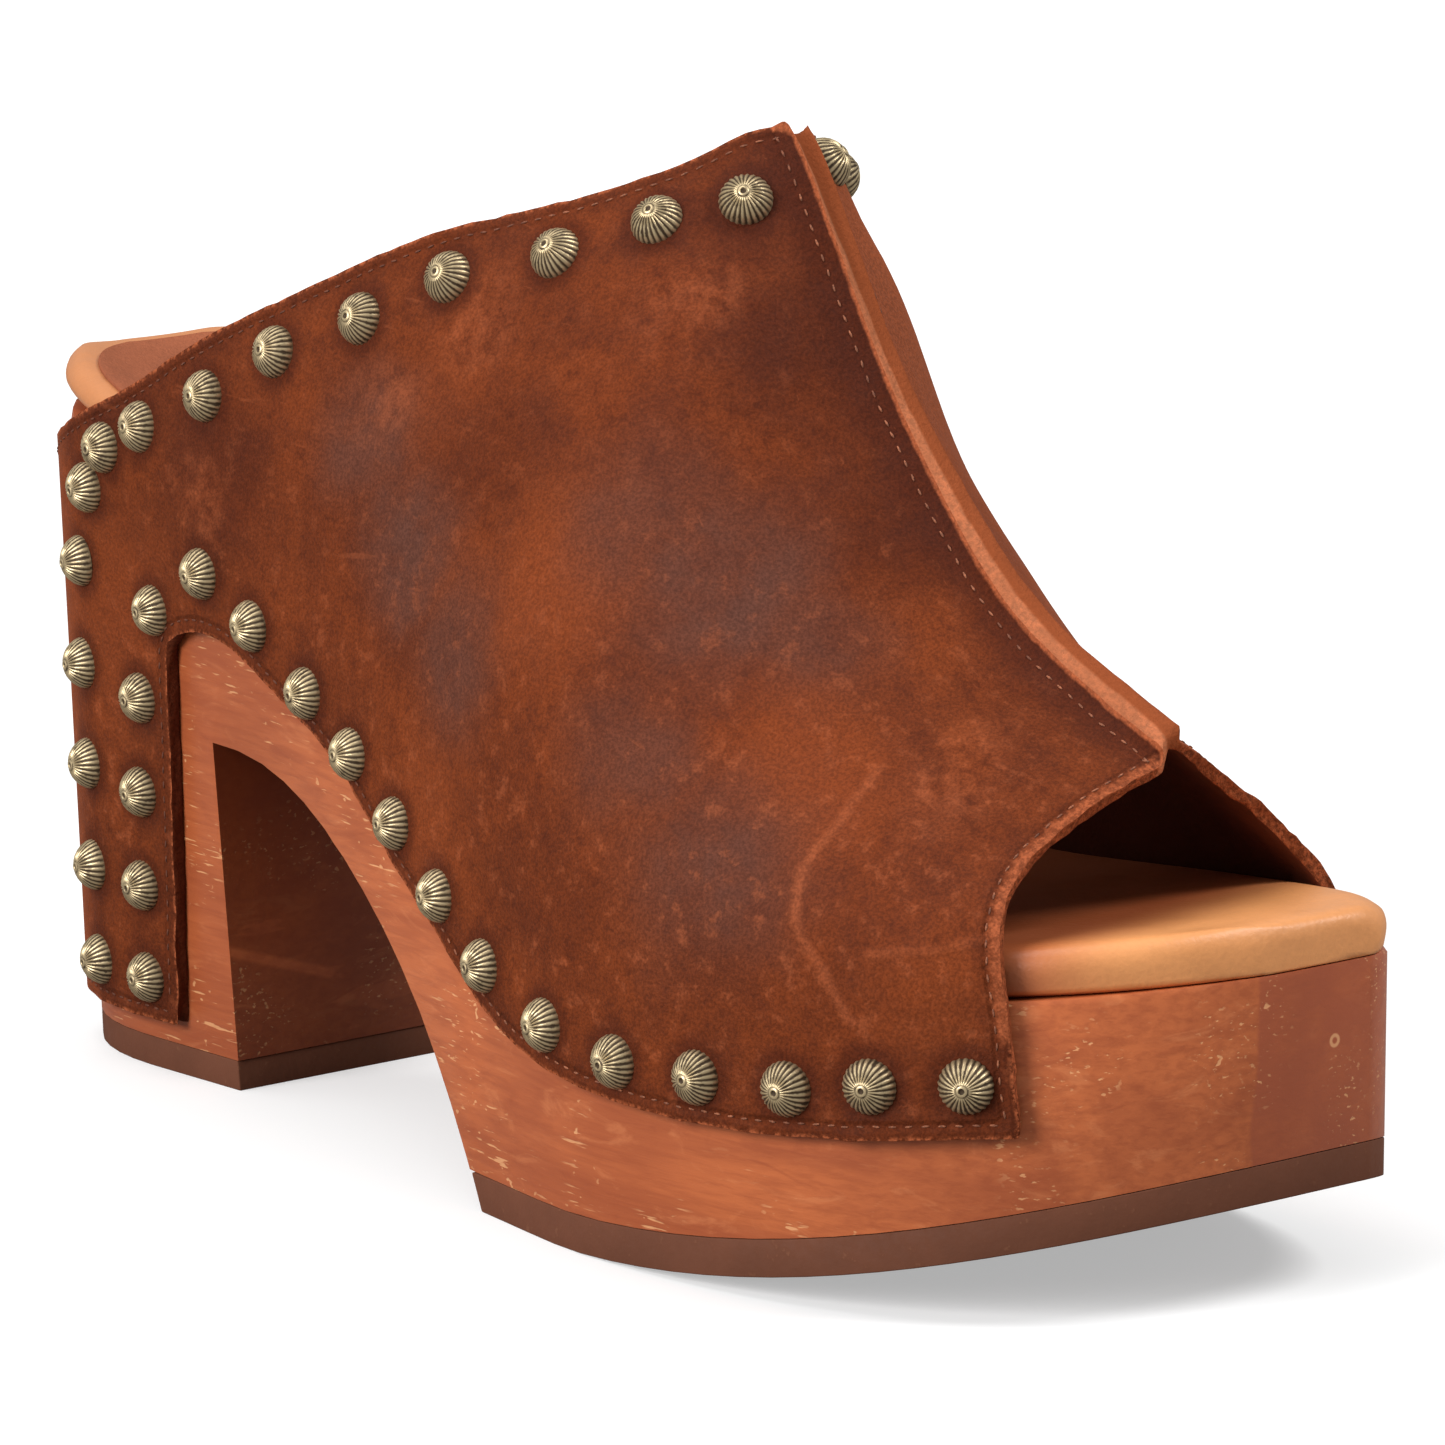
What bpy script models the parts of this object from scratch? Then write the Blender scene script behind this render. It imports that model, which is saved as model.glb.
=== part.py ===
"""Studded wooden clog mule, right shoe: one-piece wooden sole with block heel, rubber
outsole and heel lift, padded footbed, one leather upper with a standing centre ridge,
and the domed studs that hold the leather to the wood.

Metres, +Z up, +X to the toe, the outer (lateral) side at -Y.  The shoe is laid out with
the heel's back at X = 0 and is moved at the end, so that the origin is the middle of its
bounding box, on the floor.
"""
import math

import bmesh
import bpy
import numpy as np
from mathutils import Matrix, Vector

MM = 0.001

# Driving dimensions.  X is counted from the back of the heel.
SOLE_LENGTH = 241 * MM
BALL_OUTER = 46.6 * MM          # half width at the ball, outer side
BALL_INNER = 42.0 * MM          # half width at the ball, inner side
HEEL_HALF_WIDTH = 30.0 * MM     # heel seat, at the top of the wood
HEEL_FOOT_HALF_WIDTH = 24.2 * MM
HEEL_ROUND = 31 * MM            # length of the rounded back of the heel
HEEL_BACK_RAKE = .6 * MM        # the heel's foot starts this far in front of its top
HEEL_TOP = 98.5 * MM            # wood at the very back
PLATFORM_TOP = 38.8 * MM        # wood under the ball
TOE_RISE = 7.5 * MM             # wood top at the toe above the ball
TOE_SPRING = 15.6 * MM
TOE_OFFSET = 16.8 * MM          # toe tip towards the inner side
OUTSOLE_THICKNESS = 5.1 * MM
LIFT_THICKNESS = 4.4 * MM
FOOTBED_THICKNESS = 7.0 * MM
FOOTBED_INSET = 1.8 * MM        # from the wood's edge along the sides
HEEL_SWELL = 1.4 * MM           # the footbed stands past the wood at the back of the heel
LEATHER = 1.9 * MM
GAP = 0.3 * MM
INSTEP_TOP = 147 * MM           # leather crest at the back end of the ridge
RIDGE_OFFSET = 4 * MM           # ridge plane towards the inner side
RIDGE_STAND = 3.6 * MM          # at the back; it dies down to the front
RIDGE_STAND_FRONT = 2.2 * MM
RIDGE_HALF = 1.7 * MM
BREAST_X = 51.5 * MM            # front face of the heel
BREAST_TOP = 53.5 * MM
ARCH_END_X = 130 * MM           # back edge of the platform on the floor
FLAT_END_X = 149.5 * MM         # toe spring starts here
BACK_OPENING = 8 * MM           # half of the bare wood at the heel's back
FRONT_EDGE_X = {-1: .9336 * SOLE_LENGTH, 1: .9025 * SOLE_LENGTH}   # leather's front, on the wood
RIDGE_FRONT_X = .9108 * SOLE_LENGTH
RIDGE_BACK_X = .5913 * SOLE_LENGTH
STUD_DIAMETER = 7.8 * MM
STUD_HEIGHT = 3.2 * MM
ROLL_START = 3.5 * MM           # the leather stays upright this far above the wood
EDGE_LEAN = 1.6 * MM            # front edge of the leather leans back on the wood
# how far each half rolls over before the ridge, outer side -1 and inner side 1
CREST_ANGLE = {-1: math.radians(52), 1: math.radians(42)}
INNER_FLATNESS = .65            # the inner half is flatter than the outer near the opening

# Wood top: along = share of sole length, rise = share of (HEEL_TOP - PLATFORM_TOP)
SEAT_LINE = {"along": (0, .102, .205, .309, .411, .517, .600, .684, 1),
             "rise": (1, .93, .80, .60, .37, .15, .040, 0, 0)}
# Plan outline between heel round and ball, shares of the sole length / of the ball half
WAIST = {"along": (.126, .226, .330, .454, .559, .666, .705),
         "outer": (.676, .697, .73, .815, .923, 1, 1),
         "inner": (.75, .75, .752, .797, .875, .985, 1)}
# Crest of the leather: height = share of INSTEP_TOP; behind the ridge it is only a guide
CREST = {"along": (0, .228, .350, .471, .591, .625, .657, .686, .721, .759, .805,
                   .854, .907, 1),
         "height": (1.1, 1.16, 1.17, 1.09, 1, .93, .832, .765, .697, .630, .572, .534, .497, .45)}
# Collar edge: height = share of a line from HEEL_TOP at the back to INSTEP_TOP at the ridge
COLLAR = {"along": (0, .006, .041, .081, .158, .235, .347, .417, .484, .535, .591),
          "height": (.852, .879, .908, .923, .942, .967, .985, .997, .991, .993, 1.02)}
# Lower edge of the leather: height = share of HEEL_TOP
LOWER = {"along": (0, .188, .201, .228, .249, .277, .305, .345, .392, .436, .468,
                   .507, .552, .613, .694, .775, .856, .934, 1),
         "height": (.69, .69, .70, .729, .72, .70, .667, .629, .576, .488, .436, .386, .313,
                    .263, .24, .238, .252, .27, .27)}

# Studs that sit over the wood: row name, (along, height) with height as share of HEEL_TOP
STUD_ROWS = {
    "back": ((.082, .152), (.081, .30), (.083, .46), (.085, .617), (.091, .778)),
    "inner": ((.138, .15), (.139, .294), (.144, .441), (.151, .589), (.174, .732)),
    "notch": ((.237, .812),),
    "arch": ((.291, .753), (.35, .675), (.401, .606), (.452, .527), (.505, .446), (.558, .371)),
    "platform": ((.627, .32), (.692, .298), (.757, .303), (.818, .31), (.866, .328),
                 (.912, .339)),
    "collar": ((.106, .896), (.126, .963), (.167, 1.007)),
}
SIDES = {"outer": -1, "inner": 1}

for leftover in list(bpy.data.objects):
    bpy.data.objects.remove(leftover, do_unlink=True)

shoe = bpy.data.collections.new("wooden_clog_mule")
tools = bpy.data.collections.new("cutters")
bpy.context.scene.collection.children.link(shoe)
bpy.context.scene.collection.children.link(tools)


def smooth(t):
    t = min(max(t, 0.0), 1.0)
    return t * t * (3 - 2 * t)


def read(table, column, share):
    """Smooth curve without overshoot through one column of a table."""
    xs, ys = table["along"], table[column]
    if share <= xs[0]:
        return ys[0]
    if share >= xs[-1]:
        return ys[-1]
    n = len(xs)
    i = max(k for k in range(n - 1) if xs[k] <= share)
    steps = [(ys[k + 1] - ys[k]) / (xs[k + 1] - xs[k]) for k in range(n - 1)]

    def slope(k):
        if k == 0 or k == n - 1:
            return 0.0
        a, b = steps[k - 1], steps[k]
        return 0.0 if a * b <= 0 else 2 * a * b / (a + b)

    h = xs[i + 1] - xs[i]
    t = (share - xs[i]) / h
    return ((2 * t**3 - 3 * t**2 + 1) * ys[i] + (t**3 - 2 * t**2 + t) * h * slope(i)
            + (3 * t**2 - 2 * t**3) * ys[i + 1] + (t**3 - t**2) * h * slope(i + 1))


def along(x):
    return x / SOLE_LENGTH


def round_end(t, power):
    """Quarter superellipse: 0 at t = 1, 1 at t = 0."""
    t = min(max(t, 0.0), 1.0)
    return (1 - t**power) ** (1 / power)


def top_y(x, side):
    """Plan outline of the wood's top."""
    ball = BALL_OUTER if side < 0 else BALL_INNER
    if x < HEEL_ROUND:
        return side * HEEL_HALF_WIDTH * round_end(1 - x / HEEL_ROUND, 2.15)
    start = (.666 if side < 0 else .705) * SOLE_LENGTH
    if x < start:
        half = ball * read(WAIST, "outer" if side < 0 else "inner", along(x))
        blend = smooth((x - HEEL_ROUND) / (24 * MM))
        return side * (HEEL_HALF_WIDTH * (1 - blend) + half * blend)
    reach = round_end((x - start) / (SOLE_LENGTH - start), 2.4 if side < 0 else 2.5)
    return TOE_OFFSET + (side * ball - TOE_OFFSET) * reach


def foot_y(x, side):
    """Plan outline at the floor: the heel tapers, the platform does not."""
    half = HEEL_FOOT_HALF_WIDTH * round_end(1 - x / HEEL_ROUND, 2.2)
    blend = smooth((x - 54.5 * MM) / (40 * MM))
    return side * half * (1 - blend) + top_y(x, side) * blend


def seat_z(x):
    rise = read(SEAT_LINE, "rise", along(x)) * (HEEL_TOP - PLATFORM_TOP)
    toe = max(0.0, (along(x) - .654) / .346) ** 1.25 * TOE_RISE
    return PLATFORM_TOP + rise + toe


def floor_z(x):
    t = max(0.0, (x - FLAT_END_X) / (SOLE_LENGTH - FLAT_END_X))
    return TOE_SPRING * t * t


def side_point(x, side, z):
    """Point of the wood's side wall; x is counted on the top outline."""
    k = min(max(z / seat_z(x), 0.0), 1.0)
    lean = HEEL_BACK_RAKE * max(0.0, 1 - x / (54.5 * MM)) * (1 - k)
    y = foot_y(x, side) * (1 - k) + top_y(x, side) * k
    return Vector((x + lean, y, z))


def crest_z(x):
    return INSTEP_TOP * read(CREST, "height", along(x))


def collar_z(x):
    line = HEEL_TOP + (INSTEP_TOP - HEEL_TOP) * min(x / RIDGE_BACK_X, 1.0)
    return line * read(COLLAR, "height", along(x))


def roll_z(x):
    """Height where the leather starts to roll in over the foot."""
    return seat_z(x) + ROLL_START


def roll_length(x, side):
    return 1.08 * math.hypot(abs(top_y(x, side) - RIDGE_OFFSET), crest_z(x) - roll_z(x))


def near_front(x):
    return smooth((x - RIDGE_BACK_X) / (FRONT_EDGE_X[-1] - RIDGE_BACK_X))


def sweep(x, side, turn):
    """Edge lines near the opening lean back on the way to the ridge, with a slight bow."""
    tilt = (FRONT_EDGE_X[side] - EDGE_LEAN - RIDGE_FRONT_X) * turn
    bow = 3.0 * MM * near_front(x) * math.sin(math.pi * min(turn, 1.0))
    return -near_front(x) * (tilt + bow)


def wall_point(x, side, path):
    """Wood face and its continuation upwards: path is zero where the roll starts."""
    roll = roll_z(x)
    low = HEEL_TOP * read(LOWER, "height", along(x))
    climb = min(max((roll + path - low) / (roll - low), 0.0), 1.0)
    base = x - EDGE_LEAN * near_front(x) * climb
    if path <= 0:
        return side_point(base, side, roll + path)
    turn = min(path / roll_length(x, side), 1.0)
    crest = CREST_ANGLE[side]
    angle = turn * crest
    across = (1 - math.cos(angle)) / (1 - math.cos(crest))
    climb = math.sin(angle) / math.sin(crest)
    if side > 0:
        flat = INNER_FLATNESS * (.35 + .65 * near_front(x))
        across += (climb - across) * flat
    start = top_y(base, side)
    y = start + (RIDGE_OFFSET - start) * across
    z = roll + (crest_z(x) - roll) * climb
    return Vector((base + sweep(x, side, turn), y, z))


def path_at(x, side, z):
    roll = roll_z(x)
    if z <= roll:
        return z - roll
    crest = CREST_ANGLE[side]
    share = min((z - roll) / (crest_z(x) - roll), 1.0) * math.sin(crest)
    return roll_length(x, side) * math.asin(share) / crest


def wall_normal(x, side, path):
    step = min(0.2 * MM, 0.3 * x, SOLE_LENGTH - x)
    du = wall_point(x + step, side, path) - wall_point(x - step, side, path)
    dv = wall_point(x, side, path + 0.2 * MM) - wall_point(x, side, path - 0.2 * MM)
    normal = du.cross(dv).normalized()
    return normal if side < 0 else -normal


def leather_point(x, side, path, out):
    return wall_point(x, side, path) + wall_normal(x, side, path) * out


def material(name, colour, roughness, metallic=0.0):
    mat = bpy.data.materials.new(name)
    mat.use_nodes = True
    shader = mat.node_tree.nodes["Principled BSDF"]
    shader.inputs["Base Color"].default_value = (*colour, 1)
    shader.inputs["Roughness"].default_value = roughness
    shader.inputs["Metallic"].default_value = metallic
    mat.diffuse_color = (*colour, 1)
    return mat


def add_mesh(name, verts, faces, mat=None, home=shoe):
    mesh = bpy.data.meshes.new(name)
    mesh.from_pydata(verts, [], faces)
    body = bmesh.new()
    body.from_mesh(mesh)
    bmesh.ops.recalc_face_normals(body, faces=body.faces)
    if body.calc_volume(signed=True) < 0:
        bmesh.ops.reverse_faces(body, faces=body.faces)
    body.to_mesh(mesh)
    body.free()
    obj = bpy.data.objects.new(name, mesh)
    home.objects.link(obj)
    if mat:
        mesh.materials.append(mat)
    return obj


def loft(name, rings, mat, home=shoe):
    """Closed body through rings with the same number of points."""
    verts = [p for ring in rings for p in ring]
    n = len(rings[0])
    faces = [tuple(range(n)), tuple((len(rings) - 1) * n + k for k in range(n))]
    for r in range(len(rings) - 1):
        for k in range(n):
            a, b = r * n + k, r * n + (k + 1) % n
            faces.append((a, b, b + n, a + n))
    return add_mesh(name, verts, faces, mat, home)


def stations(x0, x1, count, ease0=True, ease1=True):
    """Positions between two ends, closer together at an eased end."""
    out = []
    for k in range(count + 1):
        t = k / count
        if ease0 and ease1:
            t = (1 - math.cos(math.pi * t)) / 2
        elif ease0:
            t = 1 - math.cos(math.pi * t / 2)
        elif ease1:
            t = math.sin(math.pi * t / 2)
        out.append(x0 + (x1 - x0) * t)
    return out


wood = material("stained_wood", (.42, .13, .05), .35)
rubber = material("dark_rubber", (.09, .035, .02), .7)
tan = material("tan_leather", (.62, .30, .12), .5)
nubuck = material("oiled_nubuck", (.19, .045, .018), .65)
brass = material("antique_brass", (.38, .32, .18), .4, 1.0)


# Wooden sole: sections from heel to toe, then the arch cut away
levels = (0, .2, .4, .6, .8, .97, 1)
tip = 0.4 * MM
rings = []
for x in stations(tip, SOLE_LENGTH - tip, 46):
    low = floor_z(x) + (OUTSOLE_THICKNESS if x > BREAST_X * 1.6 else LIFT_THICKNESS) + GAP
    high = seat_z(x)
    walls = {}
    for side in (-1, 1):
        wall = [side_point(x, side, low + (high - low) * k) for k in levels]
        wall[-1].y -= side * 0.7 * MM * min(1.0, abs(wall[-1].y - TOE_OFFSET * along(x)) / (9 * MM))
        walls[side] = wall
    rings.append(walls[-1] + walls[1][::-1])
wood_sole = loft("wood_sole", rings, wood)

arch = bpy.data.curves.new("arch_cutter", "CURVE")
arch.dimensions = "2D"
arch.fill_mode = "BOTH"
arch.extrude = 70 * MM
arch.resolution_u = 14
line = arch.splines.new("BEZIER")
line.use_cyclic_u = True
line.bezier_points.add(3)
down = -12 * MM
corners = (((BREAST_X, down), None, None),
           ((BREAST_X + 1 * MM, BREAST_TOP), None, (BREAST_X + 34 * MM, BREAST_TOP + 1 * MM)),
           ((ARCH_END_X, 0), (ARCH_END_X - 20 * MM, BREAST_TOP * .617), None),
           ((ARCH_END_X + 4 * MM, down), None, None))
for point, (co, left, right) in zip(line.bezier_points, corners):
    point.co = (*co, 0)
    point.handle_left_type = "FREE" if left else "VECTOR"
    point.handle_right_type = "FREE" if right else "VECTOR"
    if left:
        point.handle_left = (*left, 0)
    if right:
        point.handle_right = (*right, 0)
arch_tool = bpy.data.objects.new("arch_cutter", arch)
arch_tool.rotation_euler = (math.pi / 2, 0, 0)
tools.objects.link(arch_tool)
bpy.context.view_layer.objects.active = arch_tool
arch_tool.select_set(True)
bpy.ops.object.convert(target="MESH")
arch_tool = bpy.context.view_layer.objects.active
arch_tool.display_type = "WIRE"
arch_tool.hide_render = True
cut = wood_sole.modifiers.new("arch", "BOOLEAN")
cut.operation = "DIFFERENCE"
cut.solver = "EXACT"
cut.object = arch_tool

# Rubber outsole under the platform, following the toe spring
rings = []
for x in stations(ARCH_END_X, SOLE_LENGTH - tip, 26, ease0=False):
    low = floor_z(x)
    high = low + OUTSOLE_THICKNESS
    outer = [side_point(x, -1, low), side_point(x, -1, high)]
    inner = [side_point(x, 1, high), side_point(x, 1, low)]
    rings.append(outer + inner)
for point in rings[0][1:3]:
    point.x -= 2.2 * MM
outsole_forefoot = loft("outsole_forefoot", rings, rubber)

# Rubber lift under the heel
rings = []
for x in stations(tip, BREAST_X, 14, ease1=False):
    ring = [side_point(x, -1, 0), side_point(x, -1, LIFT_THICKNESS),
            side_point(x, 1, LIFT_THICKNESS), side_point(x, 1, 0)]
    rings.append(ring)
heel_lift = loft("heel_lift", rings, rubber)

# Padded footbed: rounded rim, cupped at the heel, a little inside the wood's edge
PROFILE = {"up": (0, .3, .62, .84, 1), "pull": (.21, 0, 0, .39, 1.11)}
ACROSS = (-.62, -.3, 0, .3, .62)
END_ROUNDS = {0: .62, 1: .86, 2: .96}       # share of the thickness at the last rings
rings = []
places = stations(tip * 2, SOLE_LENGTH - tip * 3, 40)
for count, x in enumerate(places):
    thick = FOOTBED_THICKNESS * END_ROUNDS.get(min(count, len(places) - 1 - count), 1)
    swell = HEEL_SWELL * (1 - smooth(x / (12 * MM)))
    inset = FOOTBED_INSET * smooth((x - 7 * MM) / (12 * MM)) - swell
    steepest = 3.0 if x < SOLE_LENGTH / 2 else 1.0
    dish = 2.2 * MM * (1 - smooth((x - 40 * MM) / (60 * MM))) + 0.8 * MM
    dish *= min(1.0, x / (14 * MM), (SOLE_LENGTH - x) / (14 * MM))
    edge = {}
    for side in (-1, 1):
        slope = (top_y(x + .1 * MM, side) - top_y(x - .1 * MM, side)) / (.2 * MM)
        edge[side] = top_y(x, side) - side * inset * min(math.hypot(1, slope), steepest)
    half = max((edge[1] - edge[-1]) / 2, 2 * MM)
    middle = (edge[1] + edge[-1]) / 2
    shift = -swell * (1 - smooth(x / (16 * MM)))
    shift -= FOOTBED_INSET * .6 * smooth((x - SOLE_LENGTH + 60 * MM) / (60 * MM))
    curve = min(3.4 * MM, half * .45)
    rim = [(-half + curve * pull, up) for up, pull in zip(PROFILE["up"], PROFILE["pull"])]
    across = rim + [(half * t, 1 - dish * (1 - t * t) / thick) for t in ACROSS]
    across += [(-y, up) for y, up in reversed(rim)]
    under = seat_z(x) + GAP
    rings.append([Vector((x + shift, middle + y, under + thick * up)) for y, up in across])
footbed = loft("footbed", rings, tan)

# Fine steps along the shoe, and the length of the top outline up to each of them
DENSE = stations(0, SOLE_LENGTH, 800)


def arc_table(side):
    run, table = 0.0, [0.0]
    for a, b in zip(DENSE, DENSE[1:]):
        run += math.hypot(b - a, top_y(b, side) - top_y(a, side))
        table.append(run)
    return table


ARC = {side: arc_table(side) for side in (-1, 1)}


def arc_of(x, side):
    return float(np.interp(x, DENSE, ARC[side]))


def x_of(arc, side):
    return float(np.interp(arc, ARC[side], DENSE))


# Leather upper: an outer and an inner skin on one grid, joined round every edge
STRIP_COUNT, COLLAR_COUNT, RIDGE_COUNT = 9, 13, 13
ROWS, STRIP_ROWS = 10, 6
STRIP_FRONT = .187 * SOLE_LENGTH
STRIP_FOOT = 8.4 * MM
skins = {"out": {}, "in": {}}
quads = []


def put(key, x, side, path):
    skins["out"][key] = leather_point(x, side, path, GAP + LEATHER)
    skins["in"][key] = leather_point(x, side, path, GAP)


def lower_path(x):
    return HEEL_TOP * read(LOWER, "height", along(x)) - roll_z(x)


for name, side in SIDES.items():
    back_x = next(x for x in DENSE if abs(top_y(x, side)) > BACK_OPENING)
    marks = (arc_of(back_x, side), arc_of(STRIP_FRONT, side),
             arc_of(RIDGE_BACK_X, side), arc_of(FRONT_EDGE_X[side], side))
    counts = (STRIP_COUNT, COLLAR_COUNT, RIDGE_COUNT)
    places = [marks[0]]
    for (a, b), count in zip(zip(marks, marks[1:]), counts):
        places += [a + (b - a) * k / count for k in range(1, count + 1)]
    last = len(places) - 1
    ridge_from = STRIP_COUNT + COLLAR_COUNT
    for i, place in enumerate(places):
        x = x_of(place, side)
        low = lower_path(x)
        if i >= ridge_from:
            high = roll_length(x, side)
            slope = abs(top_y(x, side) - RIDGE_OFFSET)
            high *= 1 - .9 * RIDGE_HALF / slope
        else:
            high = path_at(x, side, collar_z(x))
        for j in range(ROWS + 1):
            put((side, i, j), x, side, low + (high - low) * j / ROWS)
        if i >= ridge_from:
            edge_out, edge_in = skins["out"][(side, i, ROWS)], skins["in"][(side, i, ROWS)]
            edge_out.y = RIDGE_OFFSET + side * RIDGE_HALF
            rise = RIDGE_STAND + (RIDGE_STAND_FRONT - RIDGE_STAND) * near_front(x)
            stand = edge_out + Vector((0, 0, rise))
            skins["out"][(side, i, "stand")] = stand
            skins["out"][(0, i, "top")] = Vector((stand.x, RIDGE_OFFSET, stand.z))
            edge_in.y = RIDGE_OFFSET + side * RIDGE_HALF * 1.5
            roof = edge_in + Vector((0, -side * RIDGE_HALF * .75, .5 * MM))
            skins["in"][(side, i, "stand")] = roof
            skins["in"][(0, i, "top")] = Vector((roof.x, RIDGE_OFFSET, roof.z + .2 * MM))
    for i in range(last):
        for j in range(ROWS):
            quads.append(((side, i, j), (side, i + 1, j), (side, i + 1, j + 1), (side, i, j + 1)))
        if i >= ridge_from:
            quads.append(((side, i, ROWS), (side, i + 1, ROWS),
                          (side, i + 1, "stand"), (side, i, "stand")))
            quads.append(((side, i, "stand"), (side, i + 1, "stand"),
                          (0, i + 1, "top"), (0, i, "top")))
    # heel strip below the notch line
    for row in range(1, STRIP_ROWS + 1):
        drop = row / STRIP_ROWS
        for i in range(STRIP_COUNT + 1):
            top_x = x_of(places[i], side)
            z_top = HEEL_TOP * read(LOWER, "height", along(top_x))
            z = z_top + (STRIP_FOOT - z_top) * drop
            share = i / STRIP_COUNT
            arc = places[i] - share * drop * 5.0 * MM
            corner = max(0.0, 1 - i * 1.0) * (4 * MM if row == STRIP_ROWS else 0)
            x = x_of(arc + corner * .5, side)
            put((side, i, -row), x, side, z + corner * .6 - roll_z(x))
        for i in range(STRIP_COUNT):
            quads.append(((side, i, -row), (side, i + 1, -row),
                          (side, i + 1, 1 - row), (side, i, 1 - row)))

order = list(skins["out"])
index = {key: k for k, key in enumerate(order)}
total = len(order)
verts = [skins["out"][key] for key in order] + [skins["in"][key] for key in order]
faces, edges = [], {}
for quad in quads:
    ids = [index[key] for key in quad]
    if quad[0][0] > 0:
        ids.reverse()
    faces.append(tuple(ids))
    faces.append(tuple(k + total for k in reversed(ids)))
    for a, b in zip(ids, ids[1:] + ids[:1]):
        if (b, a) in edges:
            del edges[(b, a)]
        else:
            edges[(a, b)] = True
for a, b in edges:
    faces.append((b, a, a + total, b + total))
upper = add_mesh("upper", verts, faces, nubuck)


def stud(name, x, side, z):
    """Low dome standing on the leather, its edge against the skin."""
    path = path_at(x, side, z)
    seat = leather_point(x, side, path, GAP * 2 + LEATHER + .12 * MM)
    normal = wall_normal(x, side, path)
    turn = normal.to_track_quat("Z", "Y").to_matrix()
    radius = STUD_DIAMETER / 2
    count = 9
    verts, faces = [], []
    rings = ((1.0, 0), (.93, .42), (.62, .82))
    for share, up in rings:
        for k in range(count):
            angle = 2 * math.pi * k / count
            local = Vector((radius * share * math.cos(angle), radius * share * math.sin(angle),
                            STUD_HEIGHT * up))
            verts.append(seat + turn @ local)
    verts.append(seat + turn @ Vector((0, 0, STUD_HEIGHT)))
    faces.append(tuple(range(count))[::-1])
    for r in range(len(rings) - 1):
        for k in range(count):
            a, b = r * count + k, r * count + (k + 1) % count
            faces.append((a, b, b + count, a + count))
    top = (len(rings) - 1) * count
    for k in range(count):
        faces.append((top + k, top + (k + 1) % count, len(verts) - 1))
    return add_mesh(name, verts, faces, brass)


for side_name, side in SIDES.items():
    for row_name, row in STUD_ROWS.items():
        for number, (share, height) in enumerate(row, 1):
            stud(f"stud_{side_name}_{row_name}_{number}", share * SOLE_LENGTH, side,
                 height * HEEL_TOP)

# The origin is the middle of the finished shoe's bounding box, on the floor
corners = [vertex.co for piece in shoe.objects for vertex in piece.data.vertices]
low = [min(co[axis] for co in corners) for axis in range(3)]
high = [max(co[axis] for co in corners) for axis in range(3)]
shift = Vector(((low[0] + high[0]) / 2, (low[1] + high[1]) / 2, low[2]))
for piece in shoe.objects:
    piece.data.transform(Matrix.Translation(-shift))
arch_tool.location -= shift
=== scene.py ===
"""Studded wooden clog mule: the finish of its leather, wood, rubber, footbed and studs.

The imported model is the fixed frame.  Lengths are metres, +X to the toe, +Z up, and the
outer side of the shoe is at -Y.
"""
import math
from contextlib import contextmanager

import bmesh
import bpy
from bpy.props import FloatProperty, FloatVectorProperty, IntProperty, PointerProperty
from bpy.types import Operator, Panel, PropertyGroup
from mathutils import Matrix, Vector, noise
from mathutils.bvhtree import BVHTree
from mathutils.kdtree import KDTree


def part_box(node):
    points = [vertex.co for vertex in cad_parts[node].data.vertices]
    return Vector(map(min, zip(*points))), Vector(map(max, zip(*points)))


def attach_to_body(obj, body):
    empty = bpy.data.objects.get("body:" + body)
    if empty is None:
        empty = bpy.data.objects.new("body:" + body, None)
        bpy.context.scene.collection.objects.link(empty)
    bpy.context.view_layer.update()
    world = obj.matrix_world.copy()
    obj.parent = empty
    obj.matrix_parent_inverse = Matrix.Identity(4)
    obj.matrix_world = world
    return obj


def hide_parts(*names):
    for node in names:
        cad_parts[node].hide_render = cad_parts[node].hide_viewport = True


bl_info = {
    "name": "Studded Clog Finish",
    "version": (1, 0, 0),
    "blender": (4, 5, 0),
    "location": "3D View > Sidebar > Clog",
    "description": "Leather, wood, rubber and stud finish for a wooden clog mule",
    "category": "Object",
}

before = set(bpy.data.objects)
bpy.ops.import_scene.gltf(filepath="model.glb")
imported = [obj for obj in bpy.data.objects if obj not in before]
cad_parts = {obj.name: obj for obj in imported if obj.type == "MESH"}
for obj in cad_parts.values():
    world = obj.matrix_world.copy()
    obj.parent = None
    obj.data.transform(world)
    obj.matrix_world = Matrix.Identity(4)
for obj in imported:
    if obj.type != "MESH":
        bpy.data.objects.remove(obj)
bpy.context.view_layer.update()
MM = 0.001
SIDES = {"outer": -1, "inner": 1}

# Places that the pieces share
RIDGE_Y = 6.33 * MM             # plane of the standing seam
RIDGE_HALF = 1.7 * MM
RIDGE_HEIGHT = 2.1 * MM
WALL = 1.9 * MM                 # the leather's thickness
RIDGE_BACK_X = 22.8 * MM
COLLAR_END = Vector((23 * MM, RIDGE_Y, 148 * MM))
OPENING_X = 85 * MM             # the toe opening's edges lie in front of this
OPENING_Z = 64 * MM             # and below this
RING_MARK = (120.9 * MM, 17 * MM, 35.7 * MM)
FLOOR_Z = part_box("heel_lift")[0].z
SEED = 1                        # without one, vector noise follows the clock
SKIN, LINING, CUT = range(3)    # the upper's materials
WOOD, WORN_EDGE, SHADED = range(3)      # the sole's materials

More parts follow.
